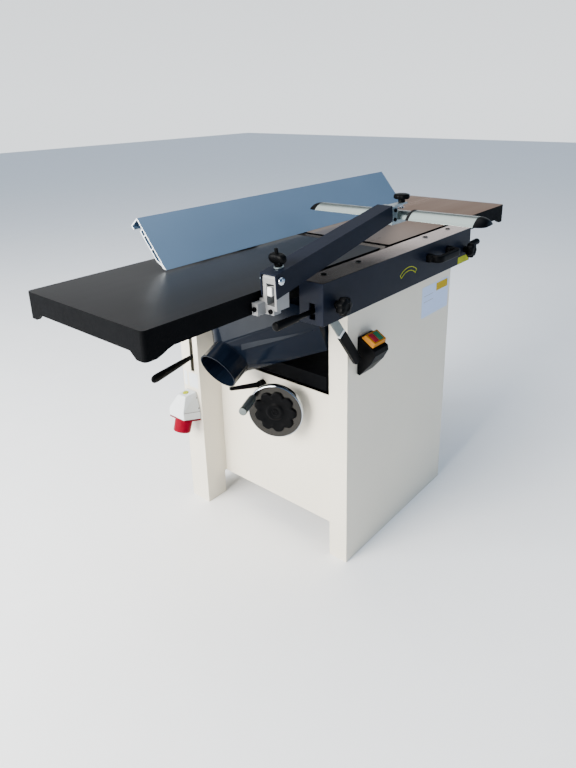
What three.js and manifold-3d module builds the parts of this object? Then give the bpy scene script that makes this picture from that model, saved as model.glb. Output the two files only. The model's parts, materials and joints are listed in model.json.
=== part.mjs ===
// Combined surface planer and thicknesser on a sheet-steel cabinet.
// Frame: millimetres, +Z up, floor at z = 0, X = 0 on the cutterhead axis, +X towards the infeed end,
// +Y from the operator's side to the fence side. The model is laid out from the front face of the
// cabinet (y = 0) and the whole group is then moved so that the origin is the centre of its footprint.
import * as THREE from 'three';
import { ConvexGeometry } from 'three/addons/geometries/ConvexGeometry.js';
import { mergeVertices } from 'three/addons/utils/BufferGeometryUtils.js';
import Module from 'manifold-3d';

const wasm = await Module();
wasm.setup();

// ---------------------------------------------------------------- driving dimensions
const GAP = 0.3; // clearance between touching parts
const SHEET = 3; // cabinet sheet thickness

const table = { top: 860, half: 800, front: 53, width: 410, plate: 14, apron: 47.5, foot: 62, wall: 9 };
table.back = table.front + table.width;
table.bottom = table.top - table.apron;

const bar = { x0: -380, x1: 355, front: -29, back: 40, bottom: 759, plate: 12, wall: 4, end: 8 };
const frontBox = { x0: -246, x1: 295, y0: 0, y1: 59, top: 757 };
const rearBox = { x0: -298, x1: 300, y0: 512, y1: 586, top: 757, belly: 80, leg: 77, bump: 75, bumpTop: 852 };
const panel = { left: -214, right: 262, bottom: 80, top: 487, thick: 3 };
const hinge = { y: 560, z: 810, x: 258, arm: 24, pin: 9 };

const cutter = { z: 812.5, radius: 47.5, body: 46, shaft: 15, y0: 52, y1: 464 };
const roller = { x: 75, z: 784.5, radius: 20, shaft: 9 };
const kickback = { x: 118, z: 793, shaft: 6, pitch: 24 };
const drive = { y0: 525, y1: 550, cutterPulley: 28, motorPulley: 40, belt: 6 };
const motor = { x: 150, z: 190, radius: 78, y0: 300, y1: 496, shaft: 12 };

const bed = { x0: -205, x1: 280, y0: 72, y1: 498, top: 533, bottom: 490, corner: 28 };
const column = { x: 0, y: 285, radius: 50, bore: 38, sleeve: 62, foot: 140, sleeveTop: 400 };
const wheel = { x: -287, y: 214.7, z: 424.9, turn: 25, outer: 80, inner: 66, deep: 18, insert: 62, shaft: 10 };
const crank = { at: 73, angle: 145, reach: 93, radius: 11.5 };
const screw = { x: -130, y: 287.9, radius: 11, low: 250 };

const hood = { x0: -278, x1: -50, y0: 64, y1: 474, top: 750, shoulder: 708, floor: 634, toeX: -90, toeZ: 660 };
const duct = { x: -356, y: 362, z: 532, radius: 60, bore: 57.5, length: 58, slope: 27 };

const knobX = { left: -332, right: 318 };
const lever = { y: 3, z: 790, pivot: 340, reach: 126 };
const pivot = { x: -485, y: 22, z: 887, pitch: 10.1 };
const guard = { x: 20, y: 22, base: 941, yaw: 3.05, radius: 54.1, centreZ: 906.9, skin: 3 };
const fence = { x0: -519, x1: 568, y: 335.5, z: 863, tilt: 50.4, height: 150 };
const saddle = { x: -170, half: 35, y0: 562, y1: 622, top: 904 };
const slideBar = { half: 12, z0: 872, z1: 892, y0: 440, y1: 778 };
const inlet = { x0: -366, x1: -298, y0: 518, y1: 586, z0: 304, rise: 22, skirt: 26, top: 395 };
const socketBarrel = { radius: 27, length: 45 };
const feedLever = { y: 541, pivotX: -245, pivotZ: 516, endX: -450, endZ: 486 };

// ---------------------------------------------------------------- materials
const paint = (color, roughness, metalness) => new THREE.MeshStandardMaterial({ color, roughness, metalness });
const finish = {
  cream: paint(0xe3ddcd, 0.45, 0.1),
  navy: paint(0x232a38, 0.4, 0.2),
  castIron: paint(0x2a2b2d, 0.6, 0.6),
  steel: paint(0xb9bcc0, 0.3, 0.9),
  chrome: paint(0xd8dadd, 0.12, 1),
  zinc: paint(0x9aa3a6, 0.35, 0.85),
  castGrey: paint(0xb4b5b2, 0.5, 0.5),
  aluminium: paint(0xcfd6d6, 0.3, 0.9),
  anodised: paint(0x7f98ad, 0.35, 0.8),
  black: paint(0x16171a, 0.5, 0.05),
  rubber: paint(0x1c1c1e, 0.8, 0),
  orange: paint(0xd98a18, 0.45, 0),
  red: paint(0xb3122e, 0.4, 0),
  green: paint(0x1f7a46, 0.4, 0),
  lightGrey: paint(0xdcdfe0, 0.5, 0),
};

// ---------------------------------------------------------------- solid modelling helpers
function toSolid(geometry) {
  const bare = geometry.clone();
  bare.deleteAttribute('normal');
  bare.deleteAttribute('uv');
  const merged = mergeVertices(bare, 1e-3);
  const index = merged.index.array;
  const triangles = [];
  for (let i = 0; i < index.length; i += 3) {
    const [a, b, c] = [index[i], index[i + 1], index[i + 2]];
    if (a !== b && b !== c && c !== a) triangles.push(a, b, c);
  }
  const positions = new Float32Array(merged.attributes.position.array);
  const corner = (i) => new THREE.Vector3().fromArray(positions, 3 * triangles[i]);
  let volume = 0;
  for (let i = 0; i < triangles.length; i += 3) {
    volume += corner(i).dot(corner(i + 1).cross(corner(i + 2)));
  }
  if (volume < 0) triangles.reverse();
  const triVerts = new Uint32Array(triangles);
  return new wasm.Manifold(new wasm.Mesh({ numProp: 3, vertProperties: positions, triVerts }));
}

function toGeometry(solid) {
  const mesh = solid.getMesh();
  const geometry = new THREE.BufferGeometry();
  geometry.setAttribute('position', new THREE.BufferAttribute(mesh.vertProperties, 3));
  geometry.setIndex(new THREE.BufferAttribute(mesh.triVerts, 1));
  geometry.computeVertexNormals();
  return geometry;
}

const join = (...solids) => solids.reduce((whole, piece) => whole.add(piece));
const cut = (base, ...tools) => tools.reduce((rest, tool) => rest.subtract(tool), base);

function box(x0, x1, y0, y1, z0, z1) {
  const geometry = new THREE.BoxGeometry(x1 - x0, y1 - y0, z1 - z0);
  geometry.translate((x0 + x1) / 2, (y0 + y1) / 2, (z0 + z1) / 2);
  return toSolid(geometry);
}

const outline = (points) => new THREE.Shape(points.map(([a, b]) => new THREE.Vector2(a, b)));

function extruded(shape, depth, holes = []) {
  holes.forEach((points) => shape.holes.push(new THREE.Path(points.map(([a, b]) => new THREE.Vector2(a, b)))));
  return new THREE.ExtrudeGeometry(shape, { depth, bevelEnabled: false, curveSegments: 8 });
}

// Prisms: the outline is given in (y, z), (x, z) or (x, y) and runs along the remaining axis.
function prismX(points, x0, x1, holes) {
  const geometry = extruded(outline(points), x1 - x0, holes);
  const [X, Y, Z] = [new THREE.Vector3(1, 0, 0), new THREE.Vector3(0, 1, 0), new THREE.Vector3(0, 0, 1)];
  geometry.applyMatrix4(new THREE.Matrix4().makeBasis(Y, Z, X));
  geometry.translate(x0, 0, 0);
  return toSolid(geometry);
}

function prismY(points, y0, y1, holes) {
  const geometry = extruded(outline(points), y1 - y0, holes);
  geometry.rotateX(Math.PI / 2);
  geometry.translate(0, y1, 0);
  return toSolid(geometry);
}

function prismZ(points, z0, z1) {
  const geometry = extruded(outline(points), z1 - z0);
  geometry.translate(0, 0, z0);
  return toSolid(geometry);
}

// A profile of [radius, distance] pairs turned about an axis through (x, y, z).
function turned(profile, axis, x, y, z, segments = 24) {
  const geometry = new THREE.LatheGeometry(profile.map(([r, a]) => new THREE.Vector2(r, a)), segments);
  const up = new THREE.Vector3(0, 1, 0);
  geometry.applyQuaternion(new THREE.Quaternion().setFromUnitVectors(up, axis.clone().normalize()));
  geometry.translate(x, y, z);
  return toSolid(geometry);
}

const alongX = new THREE.Vector3(1, 0, 0);
const alongY = new THREE.Vector3(0, 1, 0);
const alongZ = new THREE.Vector3(0, 0, 1);

function rod(axis, radius, from, to, x, y, z, segments = 24) {
  return turned([[0, from], [radius, from], [radius, to], [0, to]], axis, x, y, z, segments);
}

function hull(points) {
  return toSolid(new ConvexGeometry(points.map(([x, y, z]) => new THREE.Vector3(x, y, z))));
}

// A round-lobed star outline for knobs and grips.
function lobed(radius, depth, lobes, steps) {
  const points = [];
  for (let i = 0; i < steps; i += 1) {
    const angle = (2 * Math.PI * i) / steps;
    const r = radius - (depth / 2) * (1 - Math.cos(lobes * angle));
    points.push([r * Math.cos(angle), r * Math.sin(angle)]);
  }
  return points;
}

const planer = new THREE.Group();

function add(name, solid, material, parent = planer) {
  const mesh = new THREE.Mesh(toGeometry(solid), material);
  mesh.name = name;
  parent.add(mesh);
}

// The handwheel's axis is level and turned towards the operator; distances along it start at the rim's front
// plane and grow inwards, and across() gives a point on the wheel's face.
const wheelTurn = THREE.MathUtils.degToRad(wheel.turn);
const wheelIn = new THREE.Vector3(Math.cos(wheelTurn), Math.sin(wheelTurn), 0);
const wheelSide = new THREE.Vector3(Math.sin(wheelTurn), -Math.cos(wheelTurn), 0);
const onWheelAxis = (profile, steps) => turned(profile, wheelIn, wheel.x, wheel.y, wheel.z, steps);

// ---------------------------------------------------------------- cabinet
function frontSideBox() {
  const b = frontBox;
  const shell = box(b.x0, b.x1, b.y0, b.y1, 0, b.top);
  const inside = box(b.x0 + SHEET, b.x1 - SHEET, b.y0 + SHEET, b.y1 - SHEET, SHEET, b.top - SHEET);
  const hand = box(-150, 200, b.y1 - 10, b.y1 + 10, 120, 420);
  return cut(shell, inside, hand);
}

function rearOutline(inset) {
  const b = rearBox;
  const [l, r, low, top] = [b.x0 + inset, b.x1 - inset, inset, b.top - inset];
  return [
    [l, low], [b.x0 + b.leg - inset, low], [b.x0 + b.leg - inset, b.belly + inset],
    [b.x1 - b.leg + inset, b.belly + inset], [b.x1 - b.leg + inset, low], [r, low], [r, top],
    [b.bump - inset, top], [b.bump - inset, b.bumpTop - inset], [inset - b.bump, b.bumpTop - inset],
    [inset - b.bump, top], [l, top],
  ];
}

function rearSideBox() {
  const b = rearBox;
  const shell = prismY(rearOutline(0), b.y0, b.y1);
  const inside = prismY(rearOutline(SHEET), b.y0 + SHEET, b.y1 + 1);
  const shaftHole = rod(alongY, cutter.shaft + 2, b.y0 - 1, b.y0 + SHEET + 1, 0, 0, cutter.z);
  const motorHole = rod(alongY, motor.shaft + 4, b.y0 - 1, b.y0 + SHEET + 1, motor.x, 0, motor.z);
  const leverSlot = box(b.x0 - 1, b.x0 + SHEET + 1, feedLever.y - 8, feedLever.y + 8, 460, 574);
  return cut(shell, inside, shaftHole, motorHole, leverSlot);
}

const rearCover = () => prismY(rearOutline(0), rearBox.y1 + GAP, rearBox.y1 + GAP + 2);

const shaftBore = (radius, from, to) => onWheelAxis([[0, from], [radius, from], [radius, to], [0, to]], 24);

function endPanel(x, hasWheel) {
  const [x0, x1] = [x, x + (x < 0 ? panel.thick : -panel.thick)].sort((a, b) => a - b);
  const sheet = box(x0, x1, frontBox.y1 + GAP, rearBox.y0 - GAP, panel.bottom, panel.top);
  return hasWheel ? cut(sheet, shaftBore(wheel.shaft + 0.3, 40, 110)) : sheet;
}

// Floor casting between the side boxes, with the bored sleeve that guides the bed column.
function baseCasting() {
  const { x, y, radius, sleeve, sleeveTop } = column;
  const plate = box(panel.left + 4, panel.right - 4, frontBox.y1 + 1, rearBox.y0 - 1, 84, 90);
  const bossProfile = [[0, 86], [sleeve + 18, 86], [sleeve + 18, 104], [sleeve, 110], [sleeve, sleeveTop],
    [0, sleeveTop]];
  const boss = turned(bossProfile,
    alongZ, x, y, 0, 32);
  return cut(join(plate, boss), rod(alongZ, radius + GAP, 80, sleeveTop + 1, x, y, 0, 32));
}

function bearingPlate(y0, y1, z0) {
  const plate = box(-110, 137, y0, y1, z0, 842);
  const holes = [rod(alongY, cutter.shaft + 0.5, y0 - 1, y1 + 1, 0, 0, cutter.z)];
  [-roller.x, roller.x].forEach((x) => {
    holes.push(rod(alongY, roller.shaft + 0.5, y0 - 1, y1 + 1, x, 0, roller.z));
  });
  holes.push(rod(alongY, kickback.shaft + 0.3, y0 - 1, y1 + 1, kickback.x, 0, kickback.z, 16));
  return cut(plate, ...holes);
}

function hingeBracket(side) {
  const x = side * hinge.x;
  const cheek = hinge.arm / 2 + 1;
  const ear = [[532, rearBox.top + GAP], [584, rearBox.top + GAP], [580, 824], [570, 832], [550, 832], [540, 824]];
  const slot = box(x - cheek, x + cheek, 530, 590, 780, 840);
  const bore = rod(alongX, hinge.pin + GAP, x - 30, x + 30, 0, hinge.y, hinge.z);
  return cut(prismX(ear, x - cheek - 10, x + cheek + 10), slot, bore);
}

add('front_side_box', frontSideBox(), finish.cream);
add('rear_side_box', rearSideBox(), finish.cream);
add('rear_cover', rearCover(), finish.cream);
add('left_end_panel', endPanel(panel.left, true), finish.cream);
add('right_end_panel', endPanel(panel.right, false), finish.cream);
add('base_casting', baseCasting(), finish.castIron);
add('front_bearing_plate', bearingPlate(8, 28, frontBox.top + GAP), finish.castIron);
add('rear_bearing_plate', bearingPlate(480, rearBox.y0 - GAP, 690), finish.castIron);
add('hinge_bracket_left', hingeBracket(-1), finish.castIron);
add('hinge_bracket_right', hingeBracket(1), finish.castIron);

// ---------------------------------------------------------------- cutterhead, rollers and drive
function cutterhead() {
  const body = [];
  const steps = 48;
  for (let i = 0; i < steps; i += 1) {
    const angle = (2 * Math.PI * i) / steps;
    const phase = i % (steps / 4);
    const r = phase === 0 ? cutter.radius : phase <= 3 ? cutter.body - 9 + 2 * phase : cutter.body;
    body.push([r * Math.cos(angle), cutter.z + r * Math.sin(angle)]);
  }
  const shaft = rod(alongY, cutter.shaft, 9, drive.y1 + 2, 0, 0, cutter.z);
  return join(prismY(body, cutter.y0, cutter.y1), shaft);
}

function feedRoller(x, teeth) {
  const drum = lobed(roller.radius, teeth ? 2 : 0, 12, teeth ? 48 : 24);
  const profile = drum.map(([a, b]) => [x + a, roller.z + b]);
  const shaft = rod(alongY, roller.shaft, 10, 508, x, 0, roller.z, 16);
  return join(prismY(profile, 66, 466), shaft);
}

function pulley(x, z, radius, bore) {
  const { y0, y1 } = drive;
  const rim = [[bore, y0], [radius + 4, y0], [radius + 4, y0 + 2.5], [radius, y0 + 3], [radius, y1 - 3],
    [radius + 4, y1 - 2.5], [radius + 4, y1], [bore, y1], [bore, y0]];
  return turned(rim, alongY, x, 0, z, 28);
}

// Closed belt outline round two pulleys, from the outer tangents of the two circles.
function beltLoop(extra) {
  const a = { x: 0, z: cutter.z, r: drive.cutterPulley + extra };
  const b = { x: motor.x, z: motor.z, r: drive.motorPulley + extra };
  const along = Math.atan2(b.z - a.z, b.x - a.x);
  const spread = Math.acos((a.r - b.r) / Math.hypot(b.x - a.x, b.z - a.z));
  const points = [];
  const sweep = (wheelAt, from, to) => {
    const steps = 14;
    for (let i = 0; i <= steps; i += 1) {
      const angle = from + ((to - from) * i) / steps;
      points.push([wheelAt.x + wheelAt.r * Math.cos(angle), wheelAt.z + wheelAt.r * Math.sin(angle)]);
    }
  };
  sweep(a, along + spread, along - spread + 2 * Math.PI);
  sweep(b, along - spread, along + spread);
  return points;
}

function driveBelt() {
  const [y0, y1] = [drive.y0 + 4, drive.y1 - 4];
  return cut(prismY(beltLoop(drive.belt), y0, y1), prismY(beltLoop(GAP), y0 - 1, y1 + 1));
}

function driveMotor() {
  const { x, z, radius, y0, y1, shaft } = motor;
  const barrelProfile = [[0, y0], [radius - 14, y0], [radius, y0 + 12], [radius, y1 - 6], [radius - 8, y1],
    [0, y1]];
  const barrel = turned(barrelProfile,
    alongY, x, 0, z, 28);
  const feet = box(x - 70, x + 70, y0 + 40, y1 - 30, 90 + GAP, z - radius + 20);
  const junctionBox = box(x - 40, x + 40, y0 + 50, y1 - 50, z + radius - 12, z + radius + 34);
  const bore = rod(alongY, shaft + 0.3, y1 - 60, y1 + 1, x, 0, z);
  return cut(join(barrel, feet, junctionBox), bore);
}

// The motor's pulley with the end of the rotor shaft it is keyed to.
function motorPulley() {
  const { x, z, shaft, y1 } = motor;
  return join(pulley(x, z, drive.motorPulley, shaft - 1), rod(alongY, shaft, y1 - 58, drive.y1 + 2, x, 0, z));
}

function kickbackFingers() {
  const { x, z, shaft, pitch } = kickback;
  const parts = [rod(alongY, shaft, 10, 508, x, 0, z, 16)];
  const finger = [[x - 7, z], [x - 12, z - 30], [x - 4, z - 34], [x + 7, z]];
  for (let y = 74; y < 460; y += pitch) parts.push(prismY(finger, y, y + 10));
  return join(...parts);
}

add('cutterhead', cutterhead(), finish.steel);
add('infeed_roller', feedRoller(roller.x, true), finish.steel);
add('outfeed_roller', feedRoller(-roller.x, false), finish.steel);
add('kickback_fingers', kickbackFingers(), finish.steel);
add('cutterhead_pulley', pulley(0, cutter.z, drive.cutterPulley, cutter.shaft + 0.1), finish.castIron);
add('motor_pulley', motorPulley(), finish.castIron);
add('drive_belt', driveBelt(), finish.rubber);
add('motor', driveMotor(), finish.navy);

// ---------------------------------------------------------------- thicknesser bed and its lift
function thicknesserBed() {
  const { x0, x1, y0, y1, top, bottom, corner } = bed;
  const slab = prismZ([[x0 + corner, y0], [x1 - corner, y0], [x1, y0 + corner], [x1, y1 - corner],
    [x1 - corner, y1], [x0 + corner, y1], [x0, y1 - corner], [x0, y0 + corner]], bottom, top);
  const pockets = [];
  [[x0 + 12, -64], [64, x1 - 12]].forEach(([a, b]) => {
    pockets.push(box(a, b, y0 + corner + 4, y1 - corner - 4, bottom - 1, top - 16));
  });
  const keep = box(screw.x - 22, screw.x + 22, screw.y - 22, screw.y + 22, bottom, top - 10);
  return join(cut(slab, ...pockets), keep);
}

function bedColumn() {
  const { x, y, radius, bore, foot } = column;
  const wall = [[bore, foot], [radius, foot], [radius, bed.bottom - GAP], [bore, bed.bottom - GAP], [bore, foot]];
  return turned(wall, alongZ, x, y, 0, 32);
}

function liftGearbox() {
  const casting = box(panel.left + panel.thick + GAP, -88, 222, 330, 366, 446);
  const inside = box(-204, -80, 230, 322, 384, 447);
  const screwHole = rod(alongZ, screw.radius + 2, 360, 390, screw.x, screw.y, 0);
  return cut(casting, inside, screwHole, shaftBore(wheel.shaft + 0.5, 60, 110));
}

function liftNutGear() {
  const bore = screw.radius + 0.2;
  const gear = [[bore, 384 + GAP], [28, 384 + GAP], [28, 402], [24, 409.5], [bore, 409.5], [bore, 384 + GAP]];
  return turned(gear, alongZ, screw.x, screw.y, 0, 24);
}

// Shaft from the handwheel to the bevel pinion above the nut gear.
function handwheelShaft() {
  const { shaft } = wheel;
  return onWheelAxis([[0, 2], [shaft, 2], [shaft, 140], [14, 140], [14, 153], [0, 153]], 20);
}

function handwheel() {
  const { inner, outer, deep, shaft } = wheel;
  const rim = [[inner, 4], [inner + 4, 0], [outer - 4, 0], [outer, 4], [outer, deep - 4], [outer - 4, deep],
    [inner + 4, deep], [inner, deep - 4], [inner, 4]];
  const hub = [[shaft + 0.2, 10], [inner + 2, 10], [inner + 2, 15], [24, 18], [24, 36], [shaft + 0.2, 36],
    [shaft + 0.2, 10]];
  return join(onWheelAxis(rim, 40), onWheelAxis(hub, 40));
}

function handwheelInsert() {
  const front = -4;
  const grip = toSolid(extruded(outline(lobed(wheel.insert, 9, 9, 54)), 10 - GAP - front)
    .applyMatrix4(new THREE.Matrix4().makeBasis(wheelSide, alongZ, wheelIn.clone().negate()))
    .translate(wheel.x, wheel.y, wheel.z)
    .translate(wheelIn.x * (10 - GAP), wheelIn.y * (10 - GAP), 0));
  return cut(grip, shaftBore(wheel.shaft + 0.3, -10, 20));
}

function crankHandle() {
  const { at, angle, reach, radius } = crank;
  const around = THREE.MathUtils.degToRad(angle);
  const foot = new THREE.Vector3(wheel.x, wheel.y, wheel.z).addScaledVector(wheelSide, at * Math.cos(around))
    .addScaledVector(alongZ, at * Math.sin(around));
  const grip = [[0, GAP], [6, GAP], [6, 8], [radius - 1, 12], [radius, 18], [radius, reach - 5], [radius - 2, reach],
    [0, reach]];
  return turned(grip, wheelIn.clone().negate(), foot.x, foot.y, foot.z, 16);
}

function bedLockLever() {
  const [y0, z0] = [325, 452];
  const hub = rod(alongX, 13, -232, panel.left - GAP, 0, y0, z0, 20);
  const arm = hull([[-226, y0 - 6, z0 - 6], [-226, y0 + 6, z0 - 6], [-226, y0 - 6, z0 + 6], [-226, y0 + 6, z0 + 6],
    [-216, y0, z0 + 8], [-216, y0, z0 - 8], [-308, 364, 452], [-308, 372, 452], [-308, 364, 462], [-308, 372, 462]]);
  return join(hub, arm);
}

add('thicknesser_bed', thicknesserBed(), finish.castIron);
add('bed_column', bedColumn(), finish.steel);
add('lift_gearbox', liftGearbox(), finish.castIron);
add('lift_screw', rod(alongZ, screw.radius, screw.low, bed.bottom - GAP, screw.x, screw.y, 0, 16), finish.steel);
add('lift_nut_gear', liftNutGear(), finish.steel);
add('handwheel_shaft', handwheelShaft(), finish.steel);
add('handwheel', handwheel(), finish.chrome);
add('handwheel_insert', handwheelInsert(), finish.black);
add('crank_handle', crankHandle(), finish.chrome);
add('bed_lock_lever', bedLockLever(), finish.black);

// ---------------------------------------------------------------- feed lever and power inlet
function feedEngageLever() {
  const { y, pivotX, pivotZ, endX, endZ } = feedLever;
  const along = new THREE.Vector3(endX - pivotX, 0, endZ - pivotZ);
  const reach = along.length();
  const profile = [[0, 0], [6, 0], [6, 58], [8.5, 66], [13.5, reach - 16], [10, reach - 2], [0, reach]];
  const arm = turned(profile, along, pivotX, y, pivotZ, 16);
  return join(arm, rod(alongY, 15, rearBox.y0 + SHEET + GAP, y + 12, pivotX, 0, pivotZ, 20));
}

// The housing has a sloping underside that turns the socket outwards.
function inletHousing() {
  const { x0, x1, y0, y1, z0, rise, skirt, top } = inlet;
  const wallX = x1 - GAP;
  const middle = (y0 + y1) / 2;
  const points = [];
  [0, skirt].forEach((up) => [y0, y1].forEach((y) => points.push([x0, y, z0 + rise + up], [wallX, y, z0 + up])));
  [-1, 1].forEach((side) => points.push([x0 + 26, middle + side * 17, top - 3], [wallX, middle + side * 21, top]));
  return hull(points);
}

function inletBarrel() {
  const { x0, x1, y0, y1, z0, rise } = inlet;
  const { radius, length } = socketBarrel;
  const out = new THREE.Vector3(-rise, 0, x0 - x1).normalize();
  const x = x0 + 29;
  const z = z0 + (rise * (x1 - x)) / (x1 - x0);
  const profile = [[0, GAP], [radius + 3, GAP], [radius + 3, 3], [radius, 4], [radius, length],
    [radius - 3, length], [radius - 3, 8], [0, 8]];
  return turned(profile, out, x, (y0 + y1) / 2, z, 24);
}

add('feed_lever', feedEngageLever(), finish.black);
add('inlet_housing', inletHousing(), finish.lightGrey);
add('inlet_barrel', inletBarrel(), finish.red);

// ---------------------------------------------------------------- switch box
function switchBracket() {
  const side = [[-GAP, 570], [-GAP, 672], [-6, 673], [-52, 645], [-54, 632], [-40, 606], [-8, 568]];
  return prismX(side, -204, -141);
}

const switchGroup = new THREE.Group();
switchGroup.position.set(-173, -28, 661);
switchGroup.rotation.x = Math.atan2(677 - 645, 52 - GAP);
planer.add(switchGroup);

const button = { x: 10.5, halfWide: 8.5, halfLong: 13, seat: 7.5, top: 15.5 };

function switchHousing() {
  const [low, high] = [1.2, 14];
  const shell = hull([
    ...[[-30, -20], [30, -20], [30, 20], [-30, 20]].map(([x, y]) => [x, y, low]),
    ...[[-26, -17], [26, -17], [26, 17], [-26, 17]].map(([x, y]) => [x, y, high]),
  ]);
  const pockets = [-button.x, button.x].map((x) => box(x - button.halfWide - 0.5, x + button.halfWide + 0.5,
    -button.halfLong - 0.5, button.halfLong + 0.5, 3.5, high + 1));
  return cut(shell, ...pockets);
}

function pushButton(x) {
  return box(x - button.halfWide, x + button.halfWide, -button.halfLong, button.halfLong, button.seat, button.top);
}

add('switch_bracket', switchBracket(), finish.black);
add('switch_housing', switchHousing(), finish.orange, switchGroup);
add('start_button', pushButton(button.x), finish.green, switchGroup);
add('stop_button', pushButton(-button.x), finish.red, switchGroup);

// ---------------------------------------------------------------- dust hood
function dustHood() {
  const slope = THREE.MathUtils.degToRad(duct.slope);
  const axis = new THREE.Vector3(Math.cos(slope), 0, Math.sin(slope));
  const across = new THREE.Vector3(-Math.sin(slope), 0, Math.cos(slope));
  const mouth = new THREE.Vector3(duct.x, duct.y, duct.z);
  const ring = (radius, distance, steps) => {
    const points = [];
    for (let i = 0; i < steps; i += 1) {
      const angle = (2 * Math.PI * i) / steps;
      const p = mouth.clone().addScaledVector(axis, distance).addScaledVector(across, radius * Math.sin(angle));
      points.push([p.x, p.y + radius * Math.cos(angle), p.z]);
    }
    return points;
  };
  const plenum = (inset, top) => {
    const { x0, x1, y0, y1, shoulder, floor, toeX, toeZ } = hood;
    const corners = [];
    [y0 + inset, y1 - inset].forEach((y) => {
      corners.push([x0 + inset, y, top], [x1 - inset, y, top], [x0 + inset, y, shoulder]);
      corners.push([x0 + 33 + inset, y, floor + inset], [toeX, y, toeZ + inset * 1.4], [x1 - inset, y, toeZ + 30]);
    });
    return corners;
  };
  const steps = 28;
  const outer = join(
    hull([...plenum(0, hood.top), ...ring(duct.radius, duct.length, steps)]),
    hull([...ring(duct.radius, 0, steps), ...ring(duct.radius, duct.length + 1, steps)]),
  );
  const inner = join(
    hull([...plenum(3, hood.top + 5), ...ring(duct.bore, duct.length + 4, steps)]),
    hull([...ring(duct.bore, -4, steps), ...ring(duct.bore, duct.length + 6, steps)]),
  );
  return cut(outer, inner);
}

add('dust_hood', dustHood(), finish.navy);

// ---------------------------------------------------------------- tables
// Side view of a table from its outer end to the lip at the cutterhead, with the deeper corner foot.
function tableSkirt(outer, inner) {
  const s = Math.sign(inner - outer);
  const foot = table.top - table.foot;
  return [[outer, table.top - table.plate], [outer, foot], [outer + s * 28, foot], [outer + s * 42, foot + 5],
    [outer + s * 54, table.bottom - 4], [outer + s * 68, table.bottom], [inner, table.bottom],
    [inner, table.top - table.plate]];
}

// Arm from the rear edge of a table to its hinge pin above the rear side box.
function hingeArm(side) {
  const x = side * hinge.x;
  const half = hinge.arm / 2;
  const shape = [[table.back - 2, 814], [table.back - 2, 845], [505, 845], [560, 829], [574, 824], [579, 810],
    [574, 796], [560, 791], [546, 796], [520, 812]];
  const pin = rod(alongX, hinge.pin, x - half - 10, x + half + 10, 0, hinge.y, hinge.z);
  return join(prismX(shape, x - half, x + half), pin);
}

function tableCasting(outer, lip, wallX) {
  const { front, back, wall, top, plate, bottom } = table;
  const [x0, x1] = [outer, lip].sort((a, b) => a - b);
  const s = Math.sign(lip - outer);
  const parts = [box(x0, x1, front, back, top - plate, top)];
  [[front, front + wall], [back - wall, back]].forEach(([y0, y1]) => {
    parts.push(prismY(tableSkirt(outer, wallX), y0, y1));
  });
  const foot = top - table.foot;
  const endView = [[front, top - plate], [front, foot], [front + 26, foot], [front + 44, bottom], [back - 44, bottom],
    [back - 26, foot], [back, foot], [back, top - plate]];
  const [e0, e1] = [outer, outer + s * wall].sort((a, b) => a - b);
  parts.push(prismX(endView, e0, e1));
  const cells = 5;
  for (let i = 1; i <= cells; i += 1) {
    const x = outer + ((wallX - outer) * i) / cells;
    const thickness = i === cells ? wall : 7;
    const [r0, r1] = [x, x - s * thickness].sort((a, b) => a - b);
    parts.push(box(r0, r1, front, back, i === cells ? bottom : bottom + 6, top - plate));
  }
  [1, 2].forEach((i) => {
    const y = front + (table.width * i) / 3;
    const [r0, r1] = [outer, wallX].sort((a, b) => a - b);
    parts.push(box(r0, r1, y - 4, y + 4, bottom + 6, top - plate));
  });
  const [l0, l1] = [s * -330, s * -270].sort((a, b) => a - b);
  parts.push(box(l0, l1, 18, front + 1, 820, top - bar.plate - GAP));
  const clearance = rod(alongY, cutter.radius + 3, front - 1, back + 1, 0, 0, cutter.z, 48);
  return cut(join(...parts, hingeArm(-s)), clearance);
}

function frontBar() {
  const { x0, x1, front, back, bottom, plate, wall, end } = bar;
  const outer = box(x0, x1, front, back, bottom, table.top);
  const inside = box(x0 + end, x1 - end, front + wall, back + 1, bottom - 1, table.top - plate);
  const slotSpans = [[x0 - 1, x0 + end + 1], [x1 - end - 1, x1 + 1]];
  const slots = slotSpans.map(([a, b]) => box(a, b, lever.y - 8, lever.y + 8, 771, 809));
  const knobHole = (x) => rod(alongY, 5.5, front - 1, front + wall + 1, x, 0, 800, 16);
  const knobHoles = [knobX.left, knobX.right].map(knobHole);
  return cut(outer, inside, ...slots, ...knobHoles);
}

add('outfeed_table', tableCasting(-table.half, -25, -106), finish.castIron);
add('infeed_table', tableCasting(table.half, 20, 106), finish.castIron);
add('front_bar', frontBar(), finish.navy);

// ---------------------------------------------------------------- knobs, levers and pull handle on the bar
function starKnob(x) {
  const star = lobed(23, 5, 8, 48).map(([a, b]) => [x + a, 800 + b]);
  const neck = rod(alongY, 10, -41, bar.front - GAP, x, 0, 800, 20);
  const stud = rod(alongY, 5, -35, -24.4, x, 0, 800, 16);
  return join(prismY(star, -62, -40), neck, stud);
}

// Round lever that leaves the end of the bar through its slot; side is -1 at the outfeed end.
function endLever(side) {
  const pivotX = side < 0 ? -lever.pivot : lever.pivot - 25;
  const end = side < 0 ? bar.x0 - lever.reach : bar.x1 + lever.reach;
  const reach = Math.abs(end - pivotX);
  const profile = [[0, 0], [6, 0], [6, reach - 62], [10, reach - 60], [10.5, reach - 6], [7, reach], [0, reach]];
  const arm = turned(profile, new THREE.Vector3(side, 0, 0), pivotX, lever.y, lever.z, 16);
  return join(arm, rod(alongY, 14, lever.y - 8, lever.y + 8, pivotX, 0, lever.z, 20));
}

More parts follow.
